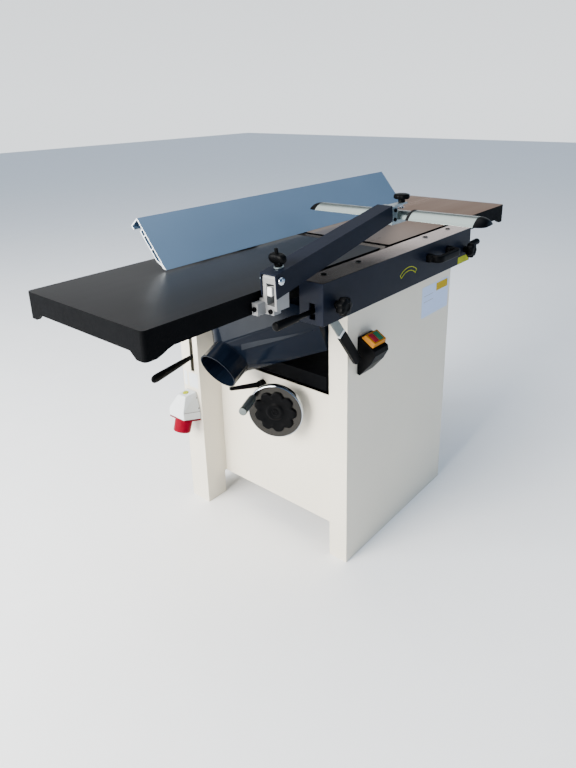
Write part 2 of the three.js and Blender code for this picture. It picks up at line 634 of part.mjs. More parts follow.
// Flat steel lever with a moulded grip, hanging below the bar in front of the cabinet.
function tableLockLever() {
  const [px, pz, ex, ez] = [-350, 786, -228, 621];
  const length = Math.hypot(ex - px, ez - pz);
  const [dx, dz] = [(ex - px) / length, (ez - pz) / length];
  const strip = (from, to, half) => [[from, -half], [from, half], [to, half], [to, -half]]
    .map(([a, b]) => [px + dx * a - dz * b, pz + dz * a + dx * b]);
  const hub = rod(alongY, 15, -24 + GAP, -8, px, 0, pz, 20);
  const grip = strip(length - 88, length, 13);
  return join(hub, prismY(strip(0, length - 70, 12), -22, -16), prismY(grip, -24, -10));
}

function pullHandle() {
  const face = bar.front - GAP;
  const bow = [[80, face], [84, -62], [94, -72], [206, -72], [216, -62], [220, face], [196, face], [193, -52],
    [188, -54], [112, -54], [107, -52], [104, face]];
  return prismZ(bow, 809, 831);
}

add('star_knob_left', starKnob(knobX.left), finish.black);
add('star_knob_right', starKnob(knobX.right), finish.black);
add('outfeed_lever', endLever(-1), finish.black);
add('infeed_lever', endLever(1), finish.black);
add('table_lock_lever', tableLockLever(), finish.zinc);
add('pull_handle', pullHandle(), finish.black);

// ---------------------------------------------------------------- cutterhead guard
function guardBracket() {
  const side = [[-497, 822], [-457, 822], [-457, 888], [-463, 898], [-494, 898], [-497, 893]];
  const upright = prismY(side, 3, 41);
  const root = box(-497, -474, 12, table.front - GAP, 811, 844);
  const flange = box(-521, -490, 36, table.front - GAP, 812, 839);
  const window = box(-500, -450, 9, 31, 832, 880);
  const pin = rod(alongY, 5, -4, 49, pivot.x, 0, pivot.z, 20);
  return join(cut(join(upright, root, flange), window), pin);
}

const armGroup = new THREE.Group();
armGroup.position.set(pivot.x, pivot.y, pivot.z);
armGroup.rotation.y = -THREE.MathUtils.degToRad(pivot.pitch);
planer.add(armGroup);

const arm = { half: 22.5, skin: 3, top: 18.3 };

function guardArm() {
  const side = [[-13, arm.top], [439, arm.top], [436, -22.6], [-20, -34]];
  const inner = [[-30, arm.top - arm.skin], [460, arm.top - arm.skin], [460, -60], [-30, -60]];
  const bore = rod(alongY, 5.3, -30, 30, 0, 0, 0, 20);
  const knobHole = rod(alongZ, 4.5, 10, 25, 23, 0, 0, 16);
  return cut(prismY(side, -arm.half, arm.half), prismY(inner, arm.skin - arm.half, arm.half - arm.skin), bore, knobHole);
}

function armKnob() {
  const base = arm.top + GAP;
  const profile = [[0, 14], [4, 14], [4, base], [11, base], [11, base + 2.5], [8, base + 3], [8, base + 10],
    [20, base + 15], [23, base + 22], [20, base + 29], [8, base + 32], [4, base + 34], [4, base + 43], [0, base + 43]];
  return turned(profile, alongZ, 23, 0, 0, 20);
}

add('guard_bracket', guardBracket(), finish.castGrey);
add('guard_arm', guardArm(), finish.navy, armGroup);
add('arm_knob', armKnob(), finish.black, armGroup);

// Block on the arm's end with a plate below the guard profile and a narrow one above it for the knob.
function clampBracket() {
  const [y0, y1] = [pivot.y - 20, pivot.y + 20];
  const block = box(-50, -26, y0, y1, 931, 978);
  const tongue = box(-80, -49, y0 + 4, y1 - 4, 942, 964);
  const under = box(-27, 48, y0, y1, 931, guard.base - GAP);
  const over = box(-27, 40, pivot.y - 10, pivot.y + 10, 973.5, 978);
  return cut(join(block, tongue, under, over), rod(alongZ, 5.2, 970, 980, guard.x + 6, pivot.y, 0, 16));
}

function clampKnob() {
  const profile = [[0, 962.5], [7, 962.5], [7, 966], [4.5, 967], [4.5, 978 + GAP], [9.5, 978 + GAP], [9.5, 986.5],
    [18, 986.8], [22, 989.5], [22, 996], [19, 1000], [14, 1001], [0, 1001]];
  return turned(profile, alongZ, guard.x + 6, pivot.y, 0, 24);
}

add('clamp_bracket', clampBracket(), finish.zinc);
add('clamp_knob', clampKnob(), finish.black);

// The guard is a convex profile in two lengths, one sliding over the other.
const guardGroup = new THREE.Group();
guardGroup.position.set(guard.x, guard.y, 0);
guardGroup.rotation.z = THREE.MathUtils.degToRad(guard.yaw);
planer.add(guardGroup);

function crown(radius, steps) {
  const rise = guard.base - guard.centreZ;
  const half = Math.acos(rise / radius);
  const points = [];
  for (let i = 0; i <= steps; i += 1) {
    const angle = -half + (2 * half * i) / steps;
    points.push([radius * Math.sin(angle), guard.centreZ + radius * Math.cos(angle)]);
  }
  return points;
}

function crownShell(radius, y0, y1) {
  const shell = [...crown(radius, 12), ...crown(radius - guard.skin, 12).reverse()];
  return prismY(shell, y0, y1);
}

function guardCap(radius, y0, y1) {
  const full = crown(radius, 10).map(([x, z]) => [x, y0, z]);
  const tip = crown(radius, 6).map(([x, z]) => [x * 0.45, y1, guard.base + (z - guard.base) * 0.25]);
  return hull([...full, ...tip]);
}

const innerRadius = guard.radius - guard.skin - 0.5;
add('guard_inner_profile', crownShell(innerRadius, -140, 251), finish.aluminium, guardGroup);
add('guard_outer_profile', crownShell(guard.radius, -217, -39), finish.aluminium, guardGroup);
add('guard_cap_left', guardCap(innerRadius, 251 + GAP, 279), finish.black, guardGroup);
add('guard_cap_right', guardCap(guard.radius, -217 - GAP, -245), finish.black, guardGroup);

// ---------------------------------------------------------------- fence
// Profile in face coordinates: u up the face from its lower edge, v from the face towards the back.
function fencePoint([u, v]) {
  const tilt = THREE.MathUtils.degToRad(fence.tilt);
  return [fence.y + u * Math.cos(tilt) + v * Math.sin(tilt), fence.z + u * Math.sin(tilt) - v * Math.cos(tilt)];
}

function fenceProfile() {
  const h = fence.height;
  const outer = [[0, 0], [h, 0], [h, 34], [h - 13, 34], [h - 13, 30], [h - 3.5, 30.5], [h - 3.5, 3.5], [121, 3.5], [121, 15],
    [36, 15], [16, 7], [9, 7]];
  const cells = [
    [[104, 3.5], [104, 11.5], [118, 11.5], [118, 3.5]],
    [[66, 3.5], [66, 12], [101, 12], [101, 3.5]],
    [[20, 3.5], [36, 12], [63, 12], [63, 3.5]],
  ];
  const tube = prismX(outer.map(fencePoint), fence.x0, fence.x1);
  return cut(tube, ...cells.map((cell) => prismX(cell.map(fencePoint), fence.x0 - 1, fence.x1 + 1)));
}

function fenceHead() {
  const side = [[372, 861.5], [slideBar.y0, 861.5], [slideBar.y0, 902], [424, 902], [396, 880]];
  const slide = box(saddle.x - slideBar.half, saddle.x + slideBar.half, slideBar.y0 - 5, slideBar.y1,
    slideBar.z0, slideBar.z1);
  return join(prismX(side, saddle.x - slideBar.half, saddle.x + slideBar.half), slide);
}

function fenceTiltBracket() {
  const web = [[30, 15.3], [112, 15.3], [104, 58], [84, 62], [58, 50]].map(fencePoint);
  return prismX(web, saddle.x + slideBar.half + 2, saddle.x + slideBar.half + 10);
}

function fenceSaddle() {
  const side = [[table.back + GAP, 815], [530, 815], [535, 846], [saddle.y1, 846], [saddle.y1, saddle.top],
    [saddle.y0, saddle.top], [saddle.y0, 859.5], [table.back + GAP, 859.5]];
  const bore = box(saddle.x - slideBar.half - 0.4, saddle.x + slideBar.half + 0.4, saddle.y0 - 1, saddle.y1 + 1,
    slideBar.z0 - 0.4, slideBar.z1 + 0.4);
  return cut(prismX(side, saddle.x - saddle.half, saddle.x + saddle.half), bore);
}

function lockHandle(axis, x, y, z, stalk) {
  const hub = turned([[0, 0], [12, 0], [12, 18], [8, 22], [0, 22]], axis, x, y, z, 20);
  return join(hub, stalk);
}

function fenceSlideLock() {
  const z = saddle.top + GAP;
  const stalk = hull([[saddle.x - 5, 587, z + 6], [saddle.x + 5, 587, z + 6], [saddle.x - 5, 597, z + 16],
    [saddle.x + 5, 597, z + 16], [saddle.x + 62, 588, z + 26], [saddle.x + 62, 596, z + 26], [saddle.x + 62, 592, z + 34]]);
  return lockHandle(alongZ, saddle.x, 592, z, stalk);
}

function fenceTiltLock() {
  const x = saddle.x + slideBar.half + 10 + GAP;
  const [y, z] = [428, 890];
  const stalk = hull([[x + 6, y - 5, z - 5], [x + 6, y + 5, z - 5], [x + 16, y - 5, z + 5], [x + 16, y + 5, z + 5],
    [x + 26, y + 12, z + 42], [x + 26, y + 22, z + 42], [x + 34, y + 17, z + 42]]);
  return lockHandle(alongX, x, y, z, stalk);
}

add('fence', fenceProfile(), finish.anodised);
add('fence_head', fenceHead(), finish.castIron);
add('fence_tilt_bracket', fenceTiltBracket(), finish.castIron);
add('fence_saddle', fenceSaddle(), finish.castIron);
add('fence_slide_lock', fenceSlideLock(), finish.black);
add('fence_tilt_lock', fenceTiltLock(), finish.black);

// ---------------------------------------------------------------- origin at the centre of the footprint
planer.updateMatrixWorld(true);
const footprint = new THREE.Box3().setFromObject(planer);
planer.position.x = -(footprint.min.x + footprint.max.x) / 2;
planer.position.y = -(footprint.min.y + footprint.max.y) / 2;
planer.updateMatrixWorld(true);

export default planer;
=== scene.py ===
import json
import math

import bmesh
import bpy
from mathutils import Matrix, Vector


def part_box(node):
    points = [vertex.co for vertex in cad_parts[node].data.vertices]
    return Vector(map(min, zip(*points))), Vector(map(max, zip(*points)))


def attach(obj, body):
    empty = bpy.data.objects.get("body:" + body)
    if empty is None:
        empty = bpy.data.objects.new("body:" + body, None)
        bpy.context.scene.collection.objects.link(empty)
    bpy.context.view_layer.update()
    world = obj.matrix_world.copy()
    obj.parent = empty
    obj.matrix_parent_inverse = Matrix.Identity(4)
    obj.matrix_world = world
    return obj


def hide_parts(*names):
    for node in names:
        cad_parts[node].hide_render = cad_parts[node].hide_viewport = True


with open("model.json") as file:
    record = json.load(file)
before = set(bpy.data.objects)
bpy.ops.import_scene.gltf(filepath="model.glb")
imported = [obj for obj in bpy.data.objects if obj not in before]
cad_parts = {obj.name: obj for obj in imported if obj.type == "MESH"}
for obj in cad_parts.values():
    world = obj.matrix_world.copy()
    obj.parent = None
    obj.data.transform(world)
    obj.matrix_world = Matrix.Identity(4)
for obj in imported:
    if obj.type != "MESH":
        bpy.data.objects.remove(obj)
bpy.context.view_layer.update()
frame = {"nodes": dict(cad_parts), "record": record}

# The look of a combined surface planer and thicknesser. Each build function below dresses one group of the
# machine's pieces, and they are called in turn at the end.
# ------------------------------------------------------------------ frame
# Lengths below are in millimetres: x from the cutterhead axis, y from the cabinet's front face and z from
# the floor. Materials and lights are in metres.
MM = 0.001
FRONT_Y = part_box("front_side_box")[0].y
BODY_OF = {n: b for b, names in frame["record"]["behaviour"]["bodies"].items() for n in names}
SLOT_OF = {s["node"]: s["material_slot"] for s in frame["record"]["subparts"]}
REAR, FRONT, UP, ALONG_X = (0, 1, 0), (0, -1, 0), (0, 0, 1), (1, 0, 0)
NEARLY_ALONG = 0.9


def at(x, y, z):
    return Vector((x * MM, FRONT_Y + y * MM, z * MM))


def lo_hi(node):
    """A node's box in the millimetre frame."""
    lo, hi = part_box(node)
    return [Vector((p.x / MM, (p.y - FRONT_Y) / MM, p.z / MM)) for p in (lo, hi)]


def basis(axis):
    """Two unit vectors across an axis, and the axis itself."""
    w = Vector(axis).normalized()
    helper = Vector(UP if abs(w.z) < NEARLY_ALONG else ALONG_X)
    u = helper.cross(w).normalized()
    return u, w.cross(u), w


# ------------------------------------------------------------------ materials
CLOUD_FROM, CLOUD_TO = 0.3, 0.7
CLOUD_DETAIL, GRAIN_DETAIL, STREAK_DETAIL = 6, 4, 8
STREAKS_PER_CLOUD = 5
GRADE_SHARE = 0.7
LEAST_ROUGH = 0.02


def surface(name, colour, rough, metal=0.0, vary=0.08, vary_scale=6.0, bump=0.1, bump_scale=400.0,
            stretch=(1, 1, 1), rough_vary=0.12, depth=0.0004, spec=0.5, other=None, grade=None, edge=None):
    """A paint, metal or plastic: clouded colour, uneven gloss and a fine relief, from object coordinates.

    other is the colour of the lighter clouds, grade the two x positions in metres between which the colour
    drifts from one to the other, and edge the tint of reflections at grazing angles. The drift and the edge
    tint are used to paint reflections on the ground tops.
    """
    mat = bpy.data.materials.new(name)
    mat.use_nodes = True
    tree = mat.node_tree
    new, link = tree.nodes.new, tree.links.new
    bsdf = tree.nodes["Principled BSDF"]
    coords = new("ShaderNodeTexCoord")
    mapping = new("ShaderNodeMapping")
    mapping.inputs["Scale"].default_value = stretch
    link(coords.outputs["Object"], mapping.inputs["Vector"])

    cloud = new("ShaderNodeTexNoise")
    cloud.inputs["Scale"].default_value = vary_scale
    cloud.inputs["Detail"].default_value = CLOUD_DETAIL
    link(coords.outputs["Object"], cloud.inputs["Vector"])
    ramp = new("ShaderNodeValToRGB")
    dark = [c * (1 - vary) for c in colour]
    light = other or [min(1.0, c * (1 + vary)) for c in colour]
    ramp.color_ramp.elements[0].position = CLOUD_FROM
    ramp.color_ramp.elements[0].color = (*dark, 1)
    ramp.color_ramp.elements[1].position = CLOUD_TO
    ramp.color_ramp.elements[1].color = (*light, 1)
    link(cloud.outputs["Fac"], ramp.inputs["Fac"])
    if grade:
        position = new("ShaderNodeSeparateXYZ")
        link(coords.outputs["Object"], position.inputs["Vector"])
        slide = new("ShaderNodeMapRange")
        slide.inputs["From Min"].default_value, slide.inputs["From Max"].default_value = grade
        link(position.outputs["X"], slide.inputs["Value"])
        blend = new("ShaderNodeMix")
        blend.inputs["Factor"].default_value = GRADE_SHARE
        link(cloud.outputs["Fac"], blend.inputs["A"])
        link(slide.outputs["Result"], blend.inputs["B"])
        link(blend.outputs["Result"], ramp.inputs["Fac"])

    grain = new("ShaderNodeTexNoise")
    grain.inputs["Scale"].default_value = bump_scale
    grain.inputs["Detail"].default_value = GRAIN_DETAIL
    link(mapping.outputs["Vector"], grain.inputs["Vector"])
    link(ramp.outputs["Color"], bsdf.inputs["Base Color"])

    gloss = new("ShaderNodeMapRange")
    gloss.inputs["To Min"].default_value = max(LEAST_ROUGH, rough - rough_vary)
    gloss.inputs["To Max"].default_value = min(1.0, rough + rough_vary)
    streak = new("ShaderNodeTexNoise")
    streak.inputs["Scale"].default_value = vary_scale * STREAKS_PER_CLOUD
    streak.inputs["Detail"].default_value = STREAK_DETAIL
    link(mapping.outputs["Vector"], streak.inputs["Vector"])
    link(streak.outputs["Fac"], gloss.inputs["Value"])
    link(gloss.outputs["Result"], bsdf.inputs["Roughness"])

    relief = new("ShaderNodeBump")
    relief.inputs["Strength"].default_value = bump
    relief.inputs["Distance"].default_value = depth
    link(grain.outputs["Fac"], relief.inputs["Height"])
    link(relief.outputs["Normal"], bsdf.inputs["Normal"])
    bsdf.inputs["Metallic"].default_value = metal
    bsdf.inputs["Specular IOR Level"].default_value = spec
    if edge:
        bsdf.inputs["Specular Tint"].default_value = (*edge, 1)
    return mat


CREAM = surface("cream_powder_coat", (0.69, 0.640, 0.535), 0.42, vary=0.03, vary_scale=3, bump=0.25,
                bump_scale=900, rough_vary=0.06, depth=0.0002, spec=0.35)
NAVY = surface("navy_enamel", (0.0060, 0.0080, 0.0150), 0.36, vary=0.15, vary_scale=8, bump=0.2,
               bump_scale=500, rough_vary=0.08, depth=0.0002, spec=0.07)
HOOD = surface("glossy_navy_enamel", (0.0024, 0.0046, 0.0098), 0.18, vary=0.15, vary_scale=8, bump=0.06,
               bump_scale=300, rough_vary=0.05, depth=0.0002, spec=0.055)
CAST = surface("rough_black_casting", (0.0012, 0.0014, 0.0019), 0.6, vary=0.25, vary_scale=20, bump=0.5,
               bump_scale=260, depth=0.0008, spec=0.03)
GROUND = surface("ground_table_top", (0.0075, 0.0070, 0.0068), 0.3, vary_scale=2.2, bump=0.12,
                 bump_scale=260, stretch=(0.05, 1, 1), rough_vary=0.06, depth=0.0001, spec=0.12,
                 other=(0.014, 0.0135, 0.014))
# The infeed top's brownish colour, its drift to a lighter tone along x and its warm edge tint are a painted
# reflection on the ground cast iron.
INFEED_TOP_PAINTED_REFLECTION = surface("infeed_top_painted_reflection", (0.155, 0.092, 0.066), 0.30, metal=0.9, vary_scale=2.4,
                    bump=0.12, bump_scale=260, stretch=(0.05, 1, 1), rough_vary=0.08, depth=0.0001,
                    other=(0.30, 0.27, 0.25), grade=(0.52, 0.06), edge=(0.92, 0.74, 0.64))
# The bar top's drift from near black to a pale warm tone along x, and its warm edge tint, are a painted
# reflection on its ground top.
BAR_TOP_PAINTED_REFLECTION = surface("bar_top_painted_reflection", (0.030, 0.026, 0.026), 0.22, metal=0.7, vary_scale=5.5, bump=0.1,
                  bump_scale=300, stretch=(0.04, 1, 1), rough_vary=0.1, depth=0.0001, spec=0.3,
                  other=(0.72, 0.62, 0.58), grade=(-0.30, 0.16), edge=(0.86, 0.78, 0.74))
STEEL = surface("machined_steel", (0.46, 0.47, 0.49), 0.27, metal=1.0, vary=0.05, bump=0.08,
                bump_scale=500, stretch=(1, 0.1, 1), depth=0.0001)
# Steel darkened as painted shade for the cutterhead in the gap between the tables.
CUTTER_STEEL_PAINTED_SHADE = surface("cutterhead_steel_painted_shade", (0.075, 0.068, 0.064), 0.34, metal=0.9, vary=0.1, bump=0.08,
                 bump_scale=500, stretch=(1, 0.1, 1), depth=0.0001)
CHROME = surface("chrome", (0.42, 0.45, 0.49), 0.08, metal=1.0, vary=0.02, bump=0.01, rough_vary=0.03,
                 depth=0.0001)
DARK_CHROME = surface("dark_chrome", (0.11, 0.13, 0.14), 0.3, metal=0.6, vary=0.05, bump=0.02,
                      rough_vary=0.05, depth=0.0001)
# Chrome darkened to paint the dark reflection on the handwheel's face.
FACE_CHROME_PAINTED_DARK = surface("chrome_painted_dark_reflection", (0.036, 0.034, 0.031), 0.24, metal=1.0, vary=0.08, vary_scale=14,
                      bump=0.05, depth=0.0001)
ZINC = surface("zinc_plate", (0.30, 0.36, 0.38), 0.3, metal=0.8, vary=0.1, vary_scale=40, bump=0.05,
               bump_scale=300, depth=0.0001)
STRAP = surface("dull_strap", (0.13, 0.15, 0.145), 0.35, metal=0.8, vary=0.1, vary_scale=40, bump=0.05,
                bump_scale=300, depth=0.0001)
CAST_GREY = surface("die_cast_grey", (0.22, 0.22, 0.22), 0.5, metal=0.3, vary=0.08, vary_scale=30,
                    bump=0.35, bump_scale=500, depth=0.0003)
ALU = surface("guard_aluminium", (0.21, 0.25, 0.24), 0.24, metal=0.9, vary=0.03, vary_scale=4, bump=0.08,
              bump_scale=500, stretch=(1, 0.03, 1), rough_vary=0.05, depth=0.0001)
ANODISED = surface("fence_anodised", (0.150, 0.228, 0.325), 0.40, metal=0.25, vary=0.06, vary_scale=3,
                   bump=0.1, bump_scale=600, stretch=(0.03, 1, 1), rough_vary=0.05, depth=0.0001,
                   spec=0.3)
SAWN_ALU = surface("sawn_aluminium", (0.78, 0.82, 0.85), 0.4, metal=0.3, vary=0.05, vary_scale=30,
                   bump=0.25, bump_scale=700, stretch=(1, 0.08, 1), depth=0.0001)
BLACK = surface("black_plastic", (0.0010, 0.0011, 0.0014), 0.4, vary=0.2, vary_scale=40, bump=0.2,
                bump_scale=900, rough_vary=0.1, depth=0.0002, spec=0.045)
RUBBER = surface("black_rubber", (0.0035, 0.0035, 0.004), 0.7, vary=0.2, vary_scale=30, bump=0.4,
                 bump_scale=700, depth=0.0003, spec=0.2)
ORANGE = surface("orange_plastic", (0.42, 0.150, 0.0002), 0.4, vary=0.05, vary_scale=30, bump=0.15,
                 bump_scale=900, rough_vary=0.06, depth=0.0001, spec=0.12)
RED = surface("red_plastic", (0.165, 0.0000, 0.0105), 0.36, vary=0.05, vary_scale=30, bump=0.1,
              bump_scale=900, rough_vary=0.06, depth=0.0001, spec=0.03)
RED_BUTTON = surface("red_button", (0.23, 0.005, 0.018), 0.42, vary=0.05, vary_scale=60, bump=0.1,
                     bump_scale=900, depth=0.0001, spec=0.15)
GREEN = surface("green_button", (0.006, 0.115, 0.05), 0.42, vary=0.05, vary_scale=60, bump=0.1,
                bump_scale=900, depth=0.0001, spec=0.3)
PALE = surface("pale_grey_plastic", (0.62, 0.65, 0.67), 0.4, vary=0.03, vary_scale=20, bump=0.15,
               bump_scale=900, rough_vary=0.05, depth=0.0001)
WHITE = surface("white_label", (0.50, 0.61, 0.85), 0.35, vary=0.02, vary_scale=20, bump=0.05,
                rough_vary=0.04, depth=0.0001, spec=0.1)
YELLOW = surface("yellow_label", (0.46, 0.31, 0.0002), 0.4, vary=0.04, vary_scale=30, bump=0.05,
                 depth=0.0001, spec=0.05)
LIME = surface("lime_label", (0.33, 0.36, 0.002), 0.4, vary=0.06, vary_scale=60, bump=0.05, depth=0.0001,
               spec=0.05)
PLATE = surface("pale_label", (0.62, 0.65, 0.68), 0.4, vary=0.02, vary_scale=20, bump=0.05,
                rough_vary=0.04, depth=0.0001, spec=0.2)
# Near-black with no reflection: painted shade for the inside of the lever slots.
SLOT_PAINTED_SHADE = surface("painted_slot_shade", (0.0012, 0.0012, 0.0014), 0.9, vary=0.2, vary_scale=60, bump=0.1,
                 depth=0.0001, spec=0.0)
GREY_LINE = surface("grey_print", (0.20, 0.23, 0.28), 0.5, vary=0.05, vary_scale=60, bump=0.05,
                    depth=0.0001)
NYLON = surface("white_nylon", (0.62, 0.63, 0.62), 0.45, vary=0.03, vary_scale=40, bump=0.15,
                bump_scale=800, depth=0.0002)

FINISH = {
    "cream": CREAM, "navy": NAVY, "castIron": CAST, "steel": STEEL, "chrome": CHROME, "zinc": ZINC,
    "castGrey": CAST_GREY, "aluminium": ALU, "anodised": ANODISED, "black": BLACK, "rubber": RUBBER,
    "orange": ORANGE, "red": RED, "green": GREEN, "lightGrey": PALE,
}


# ------------------------------------------------------------------ mesh helpers
MERGE, MERGE_CAD = 1e-6, 2e-6
FLAT_ANGLE = math.radians(0.4)
CORNER_STEPS = 4


def finish_mesh(bm, name, mats, sharp=30.0):
    """A smooth-shaded object from a bmesh, sharp where faces meet at more than the given angle."""
    bmesh.ops.remove_doubles(bm, verts=bm.verts, dist=MERGE)
    bmesh.ops.recalc_face_normals(bm, faces=bm.faces)
    mesh = bpy.data.meshes.new(name)
    bm.to_mesh(mesh)
    bm.free()
    for mat in mats:
        mesh.materials.append(mat)
    mesh.polygons.foreach_set("use_smooth", [True] * len(mesh.polygons))
    mesh.set_sharp_from_angle(angle=math.radians(sharp))
    piece = bpy.data.objects.new(name, mesh)
    bpy.context.scene.collection.objects.link(piece)
    return piece


def add_bevel(piece, width, segments=3, angle=30.0):
    mod = piece.modifiers.new("edges", "BEVEL")
    mod.width = width * MM
    mod.segments = segments
    mod.limit_method = "ANGLE"
    mod.angle_limit = math.radians(angle)
    mod.harden_normals = True
    mod.use_clamp_overlap = True


def place(piece, body, stands_for=()):
    """Puts a piece on its body; stands_for names the CAD nodes that it takes the place of."""
    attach(piece, body)
    if stands_for:
        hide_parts(*stands_for)
    return piece


def fit(bm, name, mat, body, stands_for=(), sharp=30.0):
    """Finishes and places a piece of one material."""
    return place(finish_mesh(bm, name, [mat], sharp), body, stands_for)


def loft(rings):
    """Skin through closed rings with equal numbers of points, capped at both ends."""
    bm = bmesh.new()
    rows = [[bm.verts.new(p) for p in ring] for ring in rings]
    count = len(rows[0])
    for a, b in zip(rows, rows[1:]):
        for i in range(count):
            j = (i + 1) % count
            bm.faces.new((a[i], a[j], b[j], b[i]))
    bm.faces.new(list(reversed(rows[0])))
    bm.faces.new(rows[-1])
    return bm


def circle(centre, axis, radius, steps, wave=None):
    u, v, _ = basis(axis)
    ring = []
    for i in range(steps):
        a = 2 * math.pi * i / steps
        r = radius * (wave(a) if wave else 1.0)
        ring.append(centre + (u * math.cos(a) + v * math.sin(a)) * (r * MM))
    return ring


def turned(profile, origin, axis, steps, wave=None, wave_from=0.0):
    """A body of revolution from (radius, distance) pairs; wave shapes the rings wider than wave_from."""
    w = Vector(axis).normalized()
    return loft([circle(origin + w * (a * MM), axis, max(r, 0.01), steps, wave if r >= wave_from else None)
                 for r, a in profile])


def lobes(count, depth, power=1.0):
    """An outline for turned pieces, with evenly spaced notches of the given depth."""
    return lambda a: 1 - depth * (0.5 - 0.5 * math.cos(count * a)) ** power


def torus(origin, axis, radius, section, steps):
    """A closed ring whose section is given as (radial, axial) offsets."""
    u, v, w = basis(axis)
    bm = bmesh.new()
    rows = []
    for i in range(steps):
        a = 2 * math.pi * i / steps
        out = u * math.cos(a) + v * math.sin(a)
        rows.append([bm.verts.new(origin + out * ((radius + dr) * MM) + w * (da * MM))
                     for dr, da in section])
    for i in range(steps):
        a, b = rows[i], rows[(i + 1) % steps]
        for k in range(len(section)):
            j = (k + 1) % len(section)
            bm.faces.new((a[k], b[k], b[j], a[j]))
    return bm


def round_section(radius, steps):
    turns = [2 * math.pi * i / steps for i in range(steps)]
    return [(radius * math.cos(a), radius * math.sin(a)) for a in turns]


def sweep(path, section):
    """Carries a flat section along a path of points in metres; section points are (across, up) in mm."""
    rings = []
    for i, p in enumerate(path):
        ahead = path[min(i + 1, len(path) - 1)] - path[max(i - 1, 0)]
        t = ahead.normalized()
        side = t.cross(Vector(UP)).normalized()
        top = side.cross(t)
        rings.append([p + side * (a * MM) + top * (b * MM) for a, b in section])
    return loft(rings)


def rounded_rect(width, height, radius):
    points = []
    for cx, cy, start in ((1, 1, 0), (-1, 1, 90), (-1, -1, 180), (1, -1, 270)):
        for i in range(CORNER_STEPS + 1):
            a = math.radians(start + 90 * i / CORNER_STEPS)
            points.append((cx * (width / 2 - radius) + radius * math.cos(a),
                           cy * (height / 2 - radius) + radius * math.sin(a)))
    return points


def plate(origin, u, v, outline, thick):
    """A flat plate: outline in mm on the plane of u and v, thickened along their normal."""
    u, v = Vector(u).normalized(), Vector(v).normalized()
    w = u.cross(v).normalized()
    ring = [origin + u * (a * MM) + v * (b * MM) for a, b in outline]
    return loft([ring, [p + w * (thick * MM) for p in ring]])


def smooth_path(points, steps):
    """Catmull-Rom points through a few path points."""
    pts = [points[0], *points, points[-1]]
    out = []
    for i in range(1, len(pts) - 2):
        p0, p1, p2, p3 = pts[i - 1:i + 3]
        for k in range(steps):
            t = k / steps
            out.append(0.5 * ((2 * p1) + (p2 - p0) * t + (2 * p0 - 5 * p1 + 4 * p2 - p3) * t * t
                              + (3 * p1 - p0 - 3 * p2 + p3) * t ** 3))
    out.append(points[-1])
    return out


def refine(node, bevel, mats=None, pick=None, segments=3, sharp=30.0, shape=None):
    """A clean copy of a CAD node with merged flat faces and rounded edges, standing for the node.

    pick gives a face's material number, and shape edits the mesh before the edges are rounded.
    """
    bm = bmesh.new()
    bm.from_mesh(frame["nodes"][node].data)
    bmesh.ops.remove_doubles(bm, verts=bm.verts, dist=MERGE_CAD)
    bmesh.ops.dissolve_limit(bm, angle_limit=FLAT_ANGLE, verts=bm.verts, edges=bm.edges)
    if shape:
        shape(bm)
    if pick:
        bm.normal_update()
        for f in bm.faces:
            f.material_index = pick(f)
    piece = finish_mesh(bm, node + "_body", mats or [FINISH[SLOT_OF[node]]], sharp)
    add_bevel(piece, bevel, segments, sharp)
    return place(piece, BODY_OF[node], (node,))


def hexagon(a):
    return 0.92 + 0.08 * math.cos(6 * a)


def screw_head(name, origin, axis, radius, height, body, mat):
    """A socket-head screw with a recess."""
    steps, chamfer = 24, 0.6
    w = Vector(axis).normalized()
    profile = [(radius, 0), (radius, height - chamfer), (radius - chamfer, height), (radius * 0.55, height)]
    rings = [circle(origin + w * (a * MM), axis, r, steps) for r, a in profile]
    rings.append(circle(origin + w * (height * MM), axis, radius * 0.5, steps, hexagon))
    rings.append(circle(origin + w * (height * 0.4 * MM), axis, radius * 0.48, steps, hexagon))
    fit(loft(rings), name, mat, body)


def sticker(name, centre, across, wide, tall, mat, body="cabinet", corner=2.0, thick=0.3):
    """A thin blank plate, upright on a face; across is the direction of its width."""
    fit(plate(centre, UP, across, rounded_rect(tall, wide, corner), -thick), name, mat, body)


# ------------------------------------------------------------------ cabinet and inner works
COVER_SCREW_X, COVER_SCREW_Z = 285, (15, 380, 742)


def build_cabinet():
    refine("front_side_box", 1.6)
    refine("rear_side_box", 1.6)
    for sheet in ("rear_cover", "left_end_panel", "right_end_panel"):
        refine(sheet, 0.8)
    refine("hinge_bracket_left", 1.5)
    refine("hinge_bracket_right", 1.5)


def build_inner_works():
    for casting in ("base_casting", "front_bearing_plate", "rear_bearing_plate", "motor", "lift_gearbox",
                    "thicknesser_bed"):
        refine(casting, 1.2)
    refine("cutterhead", 0.4, [CUTTER_STEEL_PAINTED_SHADE], segments=2)
    for inner in ("infeed_roller", "outfeed_roller", "kickback_fingers", "cutterhead_pulley",
                  "motor_pulley", "drive_belt", "bed_column", "lift_screw", "lift_nut_gear",
                  "handwheel_shaft"):
        refine(inner, 0.4, segments=2)


def build_cover_screws():
    _, cover_hi = lo_hi("rear_cover")
    places = [(x, z) for x in (-COVER_SCREW_X, COVER_SCREW_X) for z in COVER_SCREW_Z]
    for i, (x, z) in enumerate(places):
        centre = at(x, cover_hi.y, z)
        screw_head(f"cover_screw_{i + 1}", centre, REAR, 5.5, 2.5, "cabinet", ZINC)


# ------------------------------------------------------------------ tables
TOP = 860.0
GROUND_SKIN = 1.0
TABLE_CORNER = 9.0


def ground_top(f):
    """Picks the second material for faces at table height that look up."""
    return int(f.normal.z > NEARLY_ALONG and f.calc_center_median().z > (TOP - GROUND_SKIN) * MM)


